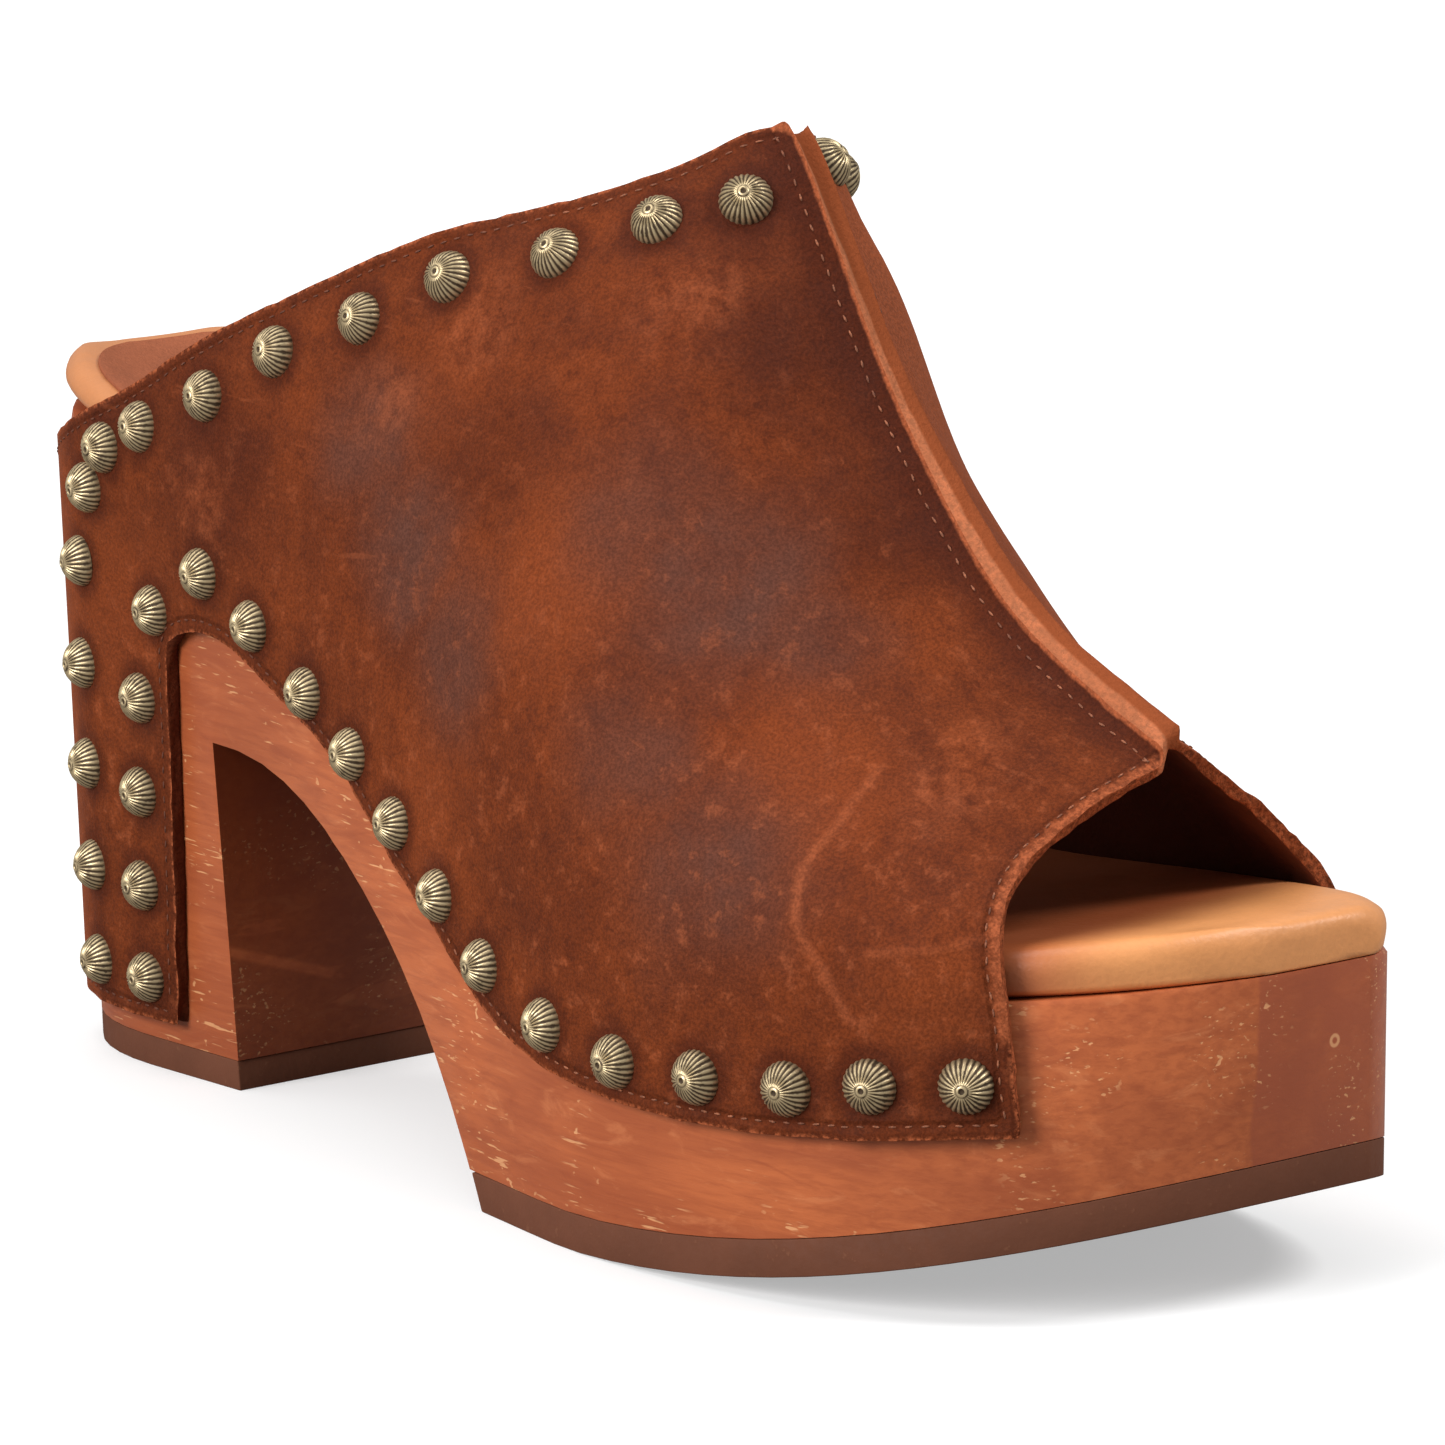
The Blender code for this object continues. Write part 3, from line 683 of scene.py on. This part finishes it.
def footbed_material(trim):
    """Tan leather, with the upper's shadow painted where it covers it, and painted shade at the
    heel.
    """
    finish = plain_leather("tan_leather", trim.tan, .9 * MM, .22, .42, .07)
    x, y, _ = finish.parts()
    # painted shadow of the upper, reddened by light thrown from the leather, with a slanted edge
    front = finish.plus(x, finish.times(y, .25))
    upper_shadow = finish.times(finish.ramp(front, .111, .093), finish.ramp(x, -.090, -.070))
    finish.paint(upper_shadow, srgb(148, 56, 25), .78)
    # painted shade at the heel
    finish.paint(finish.ramp(x, -.060, -.085, 0, .6), srgb(168, 104, 66))
    return finish.done({"Coat Weight": .08, "Coat Roughness": .4})


def rubber_material(trim):
    finish = Finish("dark_rubber", trim.rubber)
    dust = finish.noise(700, 3, .6)
    finish.paint(finish.ramp(finish.noise(80, 3), .35, .65, 0, .5), toned(trim.rubber, .72))
    finish.paint(finish.ramp(dust, .62, .74, 0, .25), srgb(140, 96, 72))
    return finish.done({"Roughness": finish.ramp(dust, .3, .7, .65, .85),
                        "Specular IOR Level": .2, "Normal": finish.bump(dust, .25, .3 * MM)})


def brass_material(trim):
    finish = Finish("antique_brass", trim.patina)
    tarnish = finish.noise(900, 3, .6)
    lit = finish.minus(finish.attribute("rib_height"), finish.ramp(tarnish, .45, .75, 0, .35))
    finish.paint(finish.ramp(lit, .15, .75), trim.metal)
    return finish.done({"Roughness": finish.ramp(lit, .1, .8, .60, .42),
                        "Metallic": finish.ramp(lit, 0, .6, .45, .8),
                        "Normal": finish.bump(tarnish, .2, .2 * MM)})


def thread_material(leather):
    """Twisted thread, soiled towards the heel."""
    finish = Finish("thread", toned(leather.thread, .45))
    finish.paint(finish.ramp(finish.noise(2600, 2), .4, .65), leather.thread)
    soiled = finish.most(finish.ramp(finish.parts()[0], .010, -.020),
                         finish.ramp(finish.noise(150), .5, .6, 0, .6))
    finish.paint(soiled, leather.deep_and_shade, .7)
    return finish.done({"Roughness": .8})


def smooth_regions(body, bend):
    """Groups of faces that meet at less than a bend."""
    seen, regions = set(), []
    for first in body.faces:
        if first in seen:
            continue
        region, waiting = [], [first]
        seen.add(first)
        while waiting:
            face = waiting.pop()
            region.append(face)
            for edge in face.edges:
                if edge.calc_face_angle(0) < bend:
                    waiting += [f for f in edge.link_faces if f not in seen]
                    seen.update(edge.link_faces)
        regions.append(region)
    return regions


def sort_upper_faces(mesh):
    """Give each face of the upper's cage its material."""
    with edited(mesh) as body:
        for region in smooth_regions(body, math.radians(42)):
            inside = set(region)
            area = sum(f.calc_area() for f in region)
            outline = sum(e.calc_length() for f in region for e in f.edges
                          if not inside.issuperset(e.link_faces))
            facing = off_ridge = 0
            for face in region:
                centre = face.calc_center_median()
                outward = Vector((0, centre.y - RIDGE_Y, centre.z - 20 * MM))
                facing += face.normal.dot(outward) * face.calc_area()
                off_ridge += abs(centre.y - RIDGE_Y) * face.calc_area() / area
            for face in region:
                if off_ridge < 1.5 * RIDGE_HALF:
                    face.material_index = SKIN if abs(face.normal.y) > .9 else CUT
                elif area / outline < WALL:
                    face.material_index = CUT
                else:
                    face.material_index = SKIN if facing > 0 else LINING


def open_ridge(mesh):
    """The two cut edges of the standing seam part along their middle, most at the back."""
    for vertex in mesh.vertices:
        place, off = vertex.co, abs(vertex.co.y - RIDGE_Y)
        if off < 2 * MM and place.x < 25 * MM and place.z > 147 * MM:
            place.z -= .5 * (place.z - 146.5 * MM)
        if off < .05 * MM and vertex.normal.z > .35:
            back = smooth(1.2 - (place.x - RIDGE_BACK_X) / (14 * MM))
            place.z -= (.3 + 1.7 * back) * MM


def crease_foot(mesh, amount):
    """Subdivision keeps the lower outline and lets the rolled upper edge run smoothly."""
    with edited(mesh) as body:
        bmesh.ops.remove_doubles(body, verts=body.verts, dist=.5 * MM)
        layer = body.edges.layers.float.new("crease_edge")
        for edge in body.edges:
            down = [face.normal.z < -.7 for face in edge.link_faces]
            if any(down) and not all(down):
                edge[layer] = amount


def crease_cut_edges(mesh):
    """Subdivision keeps the cut edges and the corners of their outline."""
    with edited(mesh) as body:
        edge_layer = body.edges.layers.float.new("crease_edge")
        corner_layer = body.verts.layers.float.new("crease_vert")
        for edge in body.edges:
            if len({f.material_index for f in edge.link_faces}) == 2:
                edge[edge_layer] = 1
        for vertex in body.verts:
            ends = [e.other_vert(vertex).co - vertex.co for e in vertex.link_edges
                    if e[edge_layer]]
            at_seam_end = abs(vertex.co.y - RIDGE_Y) < 3 * MM and vertex.co.x < 50 * MM
            at_back = vertex.co.x < -100 * MM
            if len(ends) == 2 and ends[0].angle(ends[1]) < math.radians(148):
                vertex[corner_layer] = 0 if at_seam_end or at_back else .85


def in_opening(place):
    """Whether a place on the upper is at the toe opening."""
    return place.x > OPENING_X and place.z < OPENING_Z


def pressed(place, lift):
    """The lift at a place less the depth of the worn hollows."""
    for x0, z0, x1, z1, width, depth in zip(*TROUGHS.values()):
        start, run = Vector((x0, z0)) * MM, Vector((x1 - x0, z1 - z0)) * MM
        here = Vector((place.x, place.z)) - start
        share = min(max(here.dot(run) / run.length_squared, 0), 1)
        away = (here - run * share).length / (width * MM)
        lift -= depth * MM * math.exp(-away * away)
    return lift


def shape_upper(mesh, wood_tree):
    """Soft hollows and a little unevenness, fading out where the leather lies on the wood.

    The collar rises to the seam's end, the inner half swells and turns outwards beside it,
    and the front edges stand off the wood."""
    mesh.update()
    opening = near_points([p for loop in skin_loops(mesh) for p, *_ in loop if in_opening(p)])
    moves = []
    for vertex in mesh.vertices:
        place = vertex.co
        beside = place.y - RIDGE_Y
        free = smooth((wood_tree.find_nearest(place)[3] - 3.2 * MM) / (12 * MM))
        if abs(beside) < 7 * MM:
            free *= .3
        lift = pressed(place, MOVES["uneven"] * MM * noise.noise(place * 38)
                       + MOVES["finely_uneven"] * MM * noise.noise(place * 95))
        flare = smooth(1 - opening.find(place)[2] / (6 * MM)) if in_opening(place) else 0
        seam_end = smooth(1 - (place - COLLAR_END).length / (16 * MM))
        collar = smooth(1 - abs(place.x + 35 * MM) / (50 * MM)) * rising(place.z, 98, 12)
        from_end = abs(place.x - 20 * MM)
        swell = (rising(beside, 0, 9) * smooth(1.5 - from_end / (28 * MM))
                 * rising(place.z, 98, 36))
        turned = (rising(beside, 0, 6) * smooth(1.6 - from_end / (16 * MM))
                  * rising(place.z, 132, 10))
        outward = Vector((0, beside, .25 * (place.z - 60 * MM))).normalized()
        sideways = Vector((0, math.copysign(1, beside), 0))
        moves.append(outward * lift * free + sideways * (MOVES["flare"] * MM * flare)
                     + Vector((-.15, 0, 1)) * seam_end * MOVES["seam_end"] * MM
                     + Vector((0, 0, 1)) * collar * MOVES["collar"] * MM
                     + Vector((.1, .9, .45)) * swell * MOVES["swell"] * MM
                     + Vector((0, 1, 0)) * turned * MOVES["turned"] * MM)
    for vertex, move in zip(mesh.vertices, moves):
        vertex.co += move


def fray(mesh):
    """Cut edges are a little uneven."""
    for polygon in mesh.polygons:
        if polygon.material_index == CUT:
            for index in polygon.vertices:
                vertex = mesh.vertices[index]
                rough = noise.noise_vector(vertex.co * 700) + noise.noise_vector(vertex.co * 260)
                vertex.co += rough * (.05 * MM if on_ridge(vertex.co) else .09 * MM)


def skin_loops(mesh):
    """Closed rows of (place, outer normal, inward direction) round each half's outer skin."""
    body = bmesh.new()
    body.from_mesh(mesh)
    rim = [e for e in body.edges if len(e.link_faces) == 2
           and sorted(f.material_index for f in e.link_faces) == [SKIN, CUT]]
    joined = {}
    for edge in rim:
        for vertex in edge.verts:
            joined.setdefault(vertex, []).append(edge)
    loops, used = [], set()
    for first in rim:
        if first in used:
            continue
        row, edge, vertex = [], first, first.verts[0]
        while edge and edge not in used:
            used.add(edge)
            skin = next(f for f in edge.link_faces if f.material_index == SKIN)
            middle = (edge.verts[0].co + edge.verts[1].co) / 2
            tangent = (edge.verts[1].co - edge.verts[0].co).normalized()
            inward = skin.normal.cross(tangent).normalized()
            if inward.dot(skin.calc_center_median() - middle) < 0:
                inward.negate()
            row.append((middle.copy(), skin.normal.copy(), inward))
            vertex = edge.other_vert(vertex)
            edge = next((e for e in joined[vertex] if e not in used), None)
        if len(row) > 12:
            loops.append(row)
    body.free()
    return loops


def near_points(points):
    tree = KDTree(len(points))
    for index, point in enumerate(points):
        tree.insert(point, index)
    tree.balance()
    return tree


def densely(loop, step):
    """Points along a closed loop, no further apart than a step."""
    points = []
    for (a, *_), (b, *_) in zip(loop, loop[1:] + loop[:1]):
        parts = max(1, math.ceil((b - a).length / step))
        points += [a.lerp(b, k / parts) for k in range(parts)]
    return points


def on_ridge(place):
    return abs(place.y - RIDGE_Y) < 2.6 * MM and place.z > 70 * MM


def stud_seats():
    """Foot of each stud on the leather, by side: the CAD studs, then those along the collar."""
    upper = shared["upper_tree"]
    seats = {name: [] for name in SIDES}
    for side, sign in SIDES.items():
        for node in sorted(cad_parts):
            if node.startswith("stud_" + side):
                low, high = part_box(node)
                seats[side].append(upper.find_nearest((low + high) / 2)[:2])
        for x, z in COLLAR_STUDS[side]:
            start = Vector((x * MM, sign * 80 * MM, z * MM))
            hit = upper.ray_cast(start, Vector((0, -sign, 0)))
            if hit[0] is None:
                raise RuntimeError("a collar stud misses the leather")
            seats[side].append(hit[:2])
    return seats


shared = {}


class CLOG_OT_upper(Operator):
    """Make the leather upper: outer skin, lining, cut edges and the standing seam"""
    bl_idname = "clog.upper"
    bl_label = "Leather Upper"

    def execute(self, context):
        leather = context.scene.clog_leather
        upper = cad_copy("upper", "leather_upper")
        mesh = upper.data
        lining = plain_leather("lining_leather", leather.lining, .6 * MM, .25, .55, .12)
        for material in (nubuck_material(leather), lining.material, raw_edge_material(leather)):
            mesh.materials.append(material)
        sort_upper_faces(mesh)
        open_ridge(mesh)
        crease_cut_edges(mesh)
        modify(upper, "SUBSURF", levels=2, render_levels=2)
        apply_all(upper)
        shape_upper(mesh, surface_of(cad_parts["wood_sole"].data))
        fray(mesh)
        shared["loops"] = skin_loops(mesh)
        shared["upper_tree"] = surface_of(mesh, SKIN)
        shared["seats"] = stud_seats()
        self.measure(mesh)
        bevel(upper, .3 * MM, 50)
        apply_all(upper)
        bpy.ops.object.shade_smooth()
        attach(upper, "upper_leather", "upper")
        return {"FINISHED"}

    def measure(self, mesh):
        """Distances that the finish follows, at each vertex."""
        edges = [p for loop in shared["loops"] for p in densely(loop, .4 * MM)]
        off_ridge = [p for p in edges if not on_ridge(p)]
        rim = near_points(off_ridge)
        opening = near_points([p for p in off_ridge if p.x > 78 * MM and p.z > 40 * MM])
        ridge = near_points([p for p in edges if on_ridge(p)])
        studs = near_points([seat[0] for row in shared["seats"].values() for seat in row])
        shared["edge_tree"], shared["stud_tree"] = near_points(edges), studs
        for name, tree in (("edge_distance", rim), ("opening_distance", opening),
                           ("stud_distance", studs), ("ridge_distance", ridge)):
            float_attribute(mesh, name, [tree.find(v.co)[2] for v in mesh.vertices])
        float_attribute(mesh, "ridge_foot",
                        [smooth(1.6 - ridge.find(v.co)[2] / (5 * MM)) for v in mesh.vertices])


class CLOG_OT_stitches(Operator):
    """Sew a row of stitches inside every edge of the upper"""
    bl_idname = "clog.stitches"
    bl_label = "Stitches"

    def execute(self, context):
        leather = context.scene.clog_leather
        pattern = shape(bpy.ops.mesh.primitive_uv_sphere_add, segments=6, ring_count=4, radius=1)
        pattern.data.transform(Matrix.Diagonal((
            leather.stitch_length / 2, leather.thread_width / 2, leather.thread_width * .42, 1)))
        thread = thread_material(leather)
        for side, sign in SIDES.items():
            places = [place for loop in shared["loops"]
                      if (sum(p.y for p, *_ in loop) / len(loop) - RIDGE_Y) * sign >= 0
                      for row in self.rows(loop, leather)
                      for place in self.places(row, leather)]
            stitches = copies("stitches_" + side, pattern, places, thread)
            bpy.ops.object.shade_smooth()
            attach(stitches, "upper_leather")
        bpy.data.objects.remove(pattern)
        return {"FINISHED"}

    def rows(self, loop, leather):
        """Runs of (place, normal) on the skin, inside the loop by the stitches' inset."""
        runs, run = [], []
        for place, normal, inward in loop + loop[:1]:
            offset = inward * leather.stitch_inset
            if on_ridge(place):
                offset = inward * RIDGE_HEIGHT + normal * (leather.ridge_inset - RIDGE_HEIGHT)
            spot, facing, *_ = shared["upper_tree"].find_nearest(place + offset)
            kept = shared["edge_tree"].find(spot)[2] > .8 * leather.stitch_inset
            if run and (not kept or (spot - run[-1][0]).length > 6 * MM):
                runs.append(run)
                run = []
            if kept:
                run.append((spot, facing))
        runs.append(run)
        return [r for r in runs if len(r) > 3]

    def places(self, row, leather):
        """Place and turn of each stitch along a row; every stitch leans a little."""
        travelled, target, count = 0.0, leather.stitch_pitch / 2, 0
        for (a, _), (b, _) in zip(row, row[1:]):
            run = (b - a).length
            while run > 0 and travelled + run >= target:
                spot = a.lerp(b, (target - travelled) / run)
                target += leather.stitch_pitch
                count += 1
                spot, facing, *_ = shared["upper_tree"].find_nearest(spot)
                if shared["stud_tree"].find(spot)[2] < 3.4 * MM:
                    continue
                ahead = (b - a).normalized()
                ahead = (ahead - facing * ahead.dot(facing)).normalized()
                ahead = Matrix.Rotation(.12 * math.sin(count * 7.3), 3, facing) @ ahead
                turn = Matrix((ahead, facing.cross(ahead), facing)).transposed().to_4x4()
                yield Matrix.Translation(spot + facing * .05 * MM) @ turn
            travelled += run


class CLOG_OT_studs(Operator):
    """Model one ribbed dome stud and set a copy on every place"""
    bl_idname = "clog.studs"
    bl_label = "Studs"

    # Profile from the middle of the top to the foot: share of the radius and of the height,
    # how deep the ribs are and how bright the metal is
    PROFILE = {
        "radius": (0, .07, .09, .12, .18, .21, .29, .40, .54, .69, .84, .94, 1.0, .985),
        "height": (.93, .93, .935, 1.0, 1.0, .955, .94, .90, .82, .70, .52, .33, .13, 0),
        "rib": (0, 0, 0, 0, 0, 0, .35, .8, 1, 1, 1, 1, .8, .2),
        "bright": (.1, .1, .1, .9, .9, .35, .9, 1, 1, 1, 1, 1, .8, .5),
    }

    def pattern(self, trim):
        """A sphere whose upper rings follow the profile, with ribs that are four faces wide."""
        around = trim.stud_ribs * 4
        rings = len(self.PROFILE["radius"]) - 1
        stud = shape(bpy.ops.mesh.primitive_uv_sphere_add, segments=around,
                     ring_count=rings * 2, radius=1)
        bpy.ops.object.mode_set(mode="EDIT")
        bpy.ops.mesh.select_all(action="SELECT")
        bpy.ops.mesh.bisect(plane_co=(0, 0, -1e-4), plane_no=(0, 0, 1), clear_inner=True,
                            use_fill=True)
        bpy.ops.mesh.select_all(action="SELECT")
        bpy.ops.mesh.remove_doubles(threshold=.002)
        bpy.ops.object.mode_set(mode="OBJECT")
        heights = []
        for vertex in stud.data.vertices:
            polar = math.acos(min(max(vertex.co.z, 0), 1)) / (math.pi / 2)
            ring = min(round(polar * rings), rings)
            share, up, ribbed, bright = (column[ring] for column in self.PROFILE.values())
            angle = math.atan2(vertex.co.y, vertex.co.x)
            wave = math.cos(angle * trim.stud_ribs)
            radius = trim.stud_width / 2 * share - ribbed * .11 * MM * (1 - wave)
            vertex.co = (radius * math.cos(angle), radius * math.sin(angle),
                         trim.stud_height * up - ribbed * .09 * MM * (1 - wave) * (1 - share))
            heights.append((1 - ribbed * (1 - wave) / 2) * bright)
        float_attribute(stud.data, "rib_height", heights)
        return stud

    def execute(self, context):
        trim = context.scene.clog_trim
        pattern = self.pattern(trim)
        brass = brass_material(trim)
        for side, sign in SIDES.items():
            places = []
            for count, (spot, facing) in enumerate(shared["seats"][side]):
                lean = noise.noise_vector(Vector((count * 3.1, sign, .5))) * .07
                facing = (facing + lean).normalized()
                turn = facing.to_track_quat("Z", "Y").to_matrix().to_4x4()
                spin = Matrix.Rotation(count * 1.9, 4, "Z")
                places.append(Matrix.Translation(spot - facing * .25 * MM) @ turn @ spin)
            studs = copies("studs_" + side, pattern, places, brass)
            bpy.ops.object.shade_smooth_by_angle(angle=math.radians(60))
            attach(studs, "antique_brass",
                   *[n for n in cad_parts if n.startswith("stud_" + side)])
        bpy.data.objects.remove(pattern)
        return {"FINISHED"}


class CLOG_OT_footbed(Operator):
    """Make the padded tan footbed and its suede heel pad"""
    bl_idname = "clog.footbed"
    bl_label = "Footbed"

    def execute(self, context):
        trim = context.scene.clog_trim
        bed = cad_copy("footbed", "padded_footbed")
        for vertex in bed.data.vertices:
            at_toe = rising(vertex.co.x, 92, 18)
            out = Vector((vertex.co.x - 75 * MM, vertex.co.y - 3 * MM, 0))
            vertex.co += out * at_toe * (out.length / (44 * MM)) ** 3 * .032
            vertex.co.x -= 1.2 * MM * rising(-vertex.co.x, 92, 14)
            if vertex.normal.z < -.3:
                vertex.co.z -= .1 * MM
        crease_foot(bed.data, .95)
        modify(bed, "SUBSURF", levels=2, render_levels=2)
        apply_all(bed)
        # both ends' facets are evened out, the heel's outline most
        middle = (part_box("footbed")[0].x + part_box("footbed")[1].x) / 2
        grouped(bed, "ends", lambda v: rising(abs(v.co.x - middle), 70, 25)
                if v.normal.z > -.3 else 0)
        grouped(bed, "heel", lambda v: rising(-v.co.x, 78, 16))
        modify(bed, "SMOOTH", factor=.5, iterations=12, vertex_group="ends")
        modify(bed, "SMOOTH", factor=.5, iterations=45, vertex_group="heel", use_z=False)
        apply_all(bed)
        bpy.ops.object.shade_smooth()
        bed.data.materials.append(footbed_material(trim))
        attach(bed, "footbed_leather", "footbed")
        self.heel_pad(trim, bed)
        return {"FINISHED"}

    def heel_pad(self, trim, bed):
        """A round-ended grid laid on the footbed, then given its thickness."""
        surface = surface_of(bed.data)
        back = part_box("footbed")[0].x + trim.pad_margin
        front = -8 * MM
        pad = shape(bpy.ops.mesh.primitive_grid_add, "suede_heel_pad", x_subdivisions=56,
                    y_subdivisions=32, size=2)
        for vertex in pad.data.vertices:
            u, v = vertex.co.x, vertex.co.y
            share = (u + 1) / 2
            x = back + (front - back) * share ** 1.6
            inner, outer = self.width(surface, max(x, back + 30 * MM))
            taper = (1 - (1 - min((x - back) / (32 * MM) + .02, 1)) ** 2.4) ** (1 / 2.4)
            middle = (inner + outer) / 2
            y = middle + ((inner - outer) / 2 - trim.pad_margin) * taper * v
            hit = surface.ray_cast(Vector((x, y, .2)), Vector((0, 0, -1)))
            vertex.co = (x, y, (hit[0] or Vector((0, 0, 0))).z + trim.pad_thickness / 2)
        modify(pad, "SOLIDIFY", thickness=trim.pad_thickness, offset=0)
        bevel(pad, .18 * MM, 30)
        apply_all(pad)
        bpy.ops.object.shade_smooth()
        suede = plain_leather("brown_suede", trim.suede, .6 * MM, .6, .85, .16)
        pad.data.materials.append(suede.done({"Specular IOR Level": .1}))
        attach(pad, "footbed_leather")

    def width(self, surface, x):
        """The footbed's two sides at a place along the shoe."""
        height = None
        for z in range(200, 30, -2):
            height = z * MM
            hit = surface.ray_cast(Vector((x, .1, height)), Vector((0, -1, 0)))
            if hit[0] is not None:
                break
        height -= 3 * MM
        inner = surface.ray_cast(Vector((x, .1, height)), Vector((0, -1, 0)))[0]
        outer = surface.ray_cast(Vector((x, -.1, height)), Vector((0, 1, 0)))[0]
        return inner.y, outer.y


class CLOG_OT_sole(Operator):
    """Round the wood's and the rubber's edges and give them their finish"""
    bl_idname = "clog.sole"
    bl_label = "Wood and Rubber"

    def soften(self, obj, width, edge_material):
        bevel(obj, width, 38, segments=3, material=edge_material)
        apply_all(obj)
        bpy.ops.object.shade_smooth_by_angle(angle=math.radians(32))

    def execute(self, context):
        wood_set, trim = context.scene.clog_wood, context.scene.clog_trim
        wood = cad_copy("wood_sole", "wooden_sole")
        for name, more in (("stained_wood", {}), ("worn_wood_edge", {"worn": .08}),
                           ("shaded_wood", {"shade_depth": .74})):
            wood.data.materials.append(wood_material(name, wood_set, **more))
        # faces of the heel's front under the arch take the painted shade
        for polygon in wood.data.polygons:
            x, _, z = polygon.center
            if polygon.normal.x > .6 and x < -40 * MM and z < 92 * MM:
                polygon.material_index = SHADED
        self.soften(wood, wood_set.edge, WORN_EDGE)
        attach(wood, "stained_wood", "wood_sole")
        rubber = rubber_material(trim)
        for node, name in (("outsole_forefoot", "rubber_outsole"), ("heel_lift", "rubber_lift")):
            piece = cad_copy(node, name)
            piece.data.materials.append(rubber)
            for vertex in piece.data.vertices:
                if vertex.normal.z > .3:
                    vertex.co.z += .2 * MM
            self.soften(piece, .2 * MM, WOOD)
            attach(piece, "dark_rubber", node)
        return {"FINISHED"}


class CLOG_OT_stage(Operator):
    """Set the pale floor, the soft lights and the camera"""
    bl_idname = "clog.stage"
    bl_label = "Stage"

    # Soft boxes: azimuth and height of the light seen from the shoe, distance, size, power
    LIGHTS = {
        "name": ("overhead", "front_left", "inner_toe_side"),
        "azimuth": (-50, 0, 126),
        "height": (72, 24, 46),
        "distance": (1.5, 1.6, 1.5),
        "size": (1.1, .9, .6),
        "power": (8, 27, 14),
    }

    def execute(self, context):
        stage = context.scene.clog_stage
        floor = shape(bpy.ops.mesh.primitive_circle_add, "studio_floor", vertices=96, radius=14,
                      fill_type="NGON", location=(0, 0, FLOOR_Z))
        # the floor throws little light back on the shoe; the camera sees it paler and with a
        # painted glow, stronger further from the shoe
        pale = Finish("pale_floor", (.28, .27, .26))
        seen = pale.add("ShaderNodeLightPath").outputs["Is Camera Ray"]
        pale.paint(seen, (.62, .62, .62))
        glow = pale.ramp(pale.vectors("LENGTH", pale.place), .3, 1.2, .42, .8)
        floor.data.materials.append(pale.done({
            "Roughness": .9, "Specular IOR Level": 0, "Emission Color": (1, 1, 1, 1),
            "Emission Strength": pale.times(seen, glow)}))
        world = bpy.data.worlds.new("studio")
        world.use_nodes = True
        background = world.node_tree.nodes["Background"].inputs
        background["Color"].default_value = (1, 1, 1, 1)
        background["Strength"].default_value = .37
        context.scene.world = world
        middle = Vector((0, 0, .07))
        for name, azimuth, height, distance, size, power in zip(*self.LIGHTS.values()):
            a, h = math.radians(azimuth), math.radians(height)
            toward = Vector((math.sin(a) * math.cos(h), -math.cos(a) * math.cos(h), math.sin(h)))
            bpy.ops.object.light_add(type="AREA", location=middle + toward * distance)
            light = context.object
            light.name = name
            light.data.shape = "DISK"
            light.data.size = size
            light.data.energy = power
            light.rotation_euler = toward.to_track_quat("Z", "Y").to_euler()
        bpy.ops.object.camera_add(location=stage.camera_place,
                                  rotation=(math.pi / 2 - stage.elevation, 0, stage.azimuth))
        camera = context.object
        camera.data.sensor_width = 36
        camera.data.lens = stage.lens
        camera.data.clip_end = 60
        context.scene.camera = camera
        context.scene.view_settings.view_transform = "Standard"
        return {"FINISHED"}


class CLOG_PT_panel(Panel):
    """Clog finish"""
    bl_label = "Clog Finish"
    bl_idname = "CLOG_PT_panel"
    bl_space_type = "VIEW_3D"
    bl_region_type = "UI"
    bl_category = "Clog"

    def draw(self, context):
        for settings in ("clog_leather", "clog_wood", "clog_trim", "clog_stage"):
            group = getattr(context.scene, settings)
            for name in group.__annotations__:
                self.layout.prop(group, name)
        for operator in OPERATORS:
            self.layout.operator(operator.bl_idname)


OPERATORS = (CLOG_OT_upper, CLOG_OT_stitches, CLOG_OT_studs, CLOG_OT_footbed, CLOG_OT_sole,
             CLOG_OT_stage)
SETTINGS = {"clog_leather": ClogLeather, "clog_wood": ClogWood, "clog_trim": ClogTrim,
            "clog_stage": ClogStage}


def register():
    for cls in (*SETTINGS.values(), *OPERATORS, CLOG_PT_panel):
        bpy.utils.register_class(cls)
    for name, cls in SETTINGS.items():
        setattr(bpy.types.Scene, name, PointerProperty(type=cls))


def unregister():
    for name in SETTINGS:
        delattr(bpy.types.Scene, name)
    for cls in reversed((*SETTINGS.values(), *OPERATORS, CLOG_PT_panel)):
        bpy.utils.unregister_class(cls)


def main():
    register()
    noise.seed_set(SEED)
    for make_group in (soft_spot_group, crease_group, nap_group, grain_group):
        make_group()
    bpy.ops.clog.upper()
    bpy.ops.clog.stitches()
    bpy.ops.clog.studs()
    bpy.ops.clog.footbed()
    bpy.ops.clog.sole()
    bpy.ops.clog.stage()


if __name__ == "__main__":
    main()
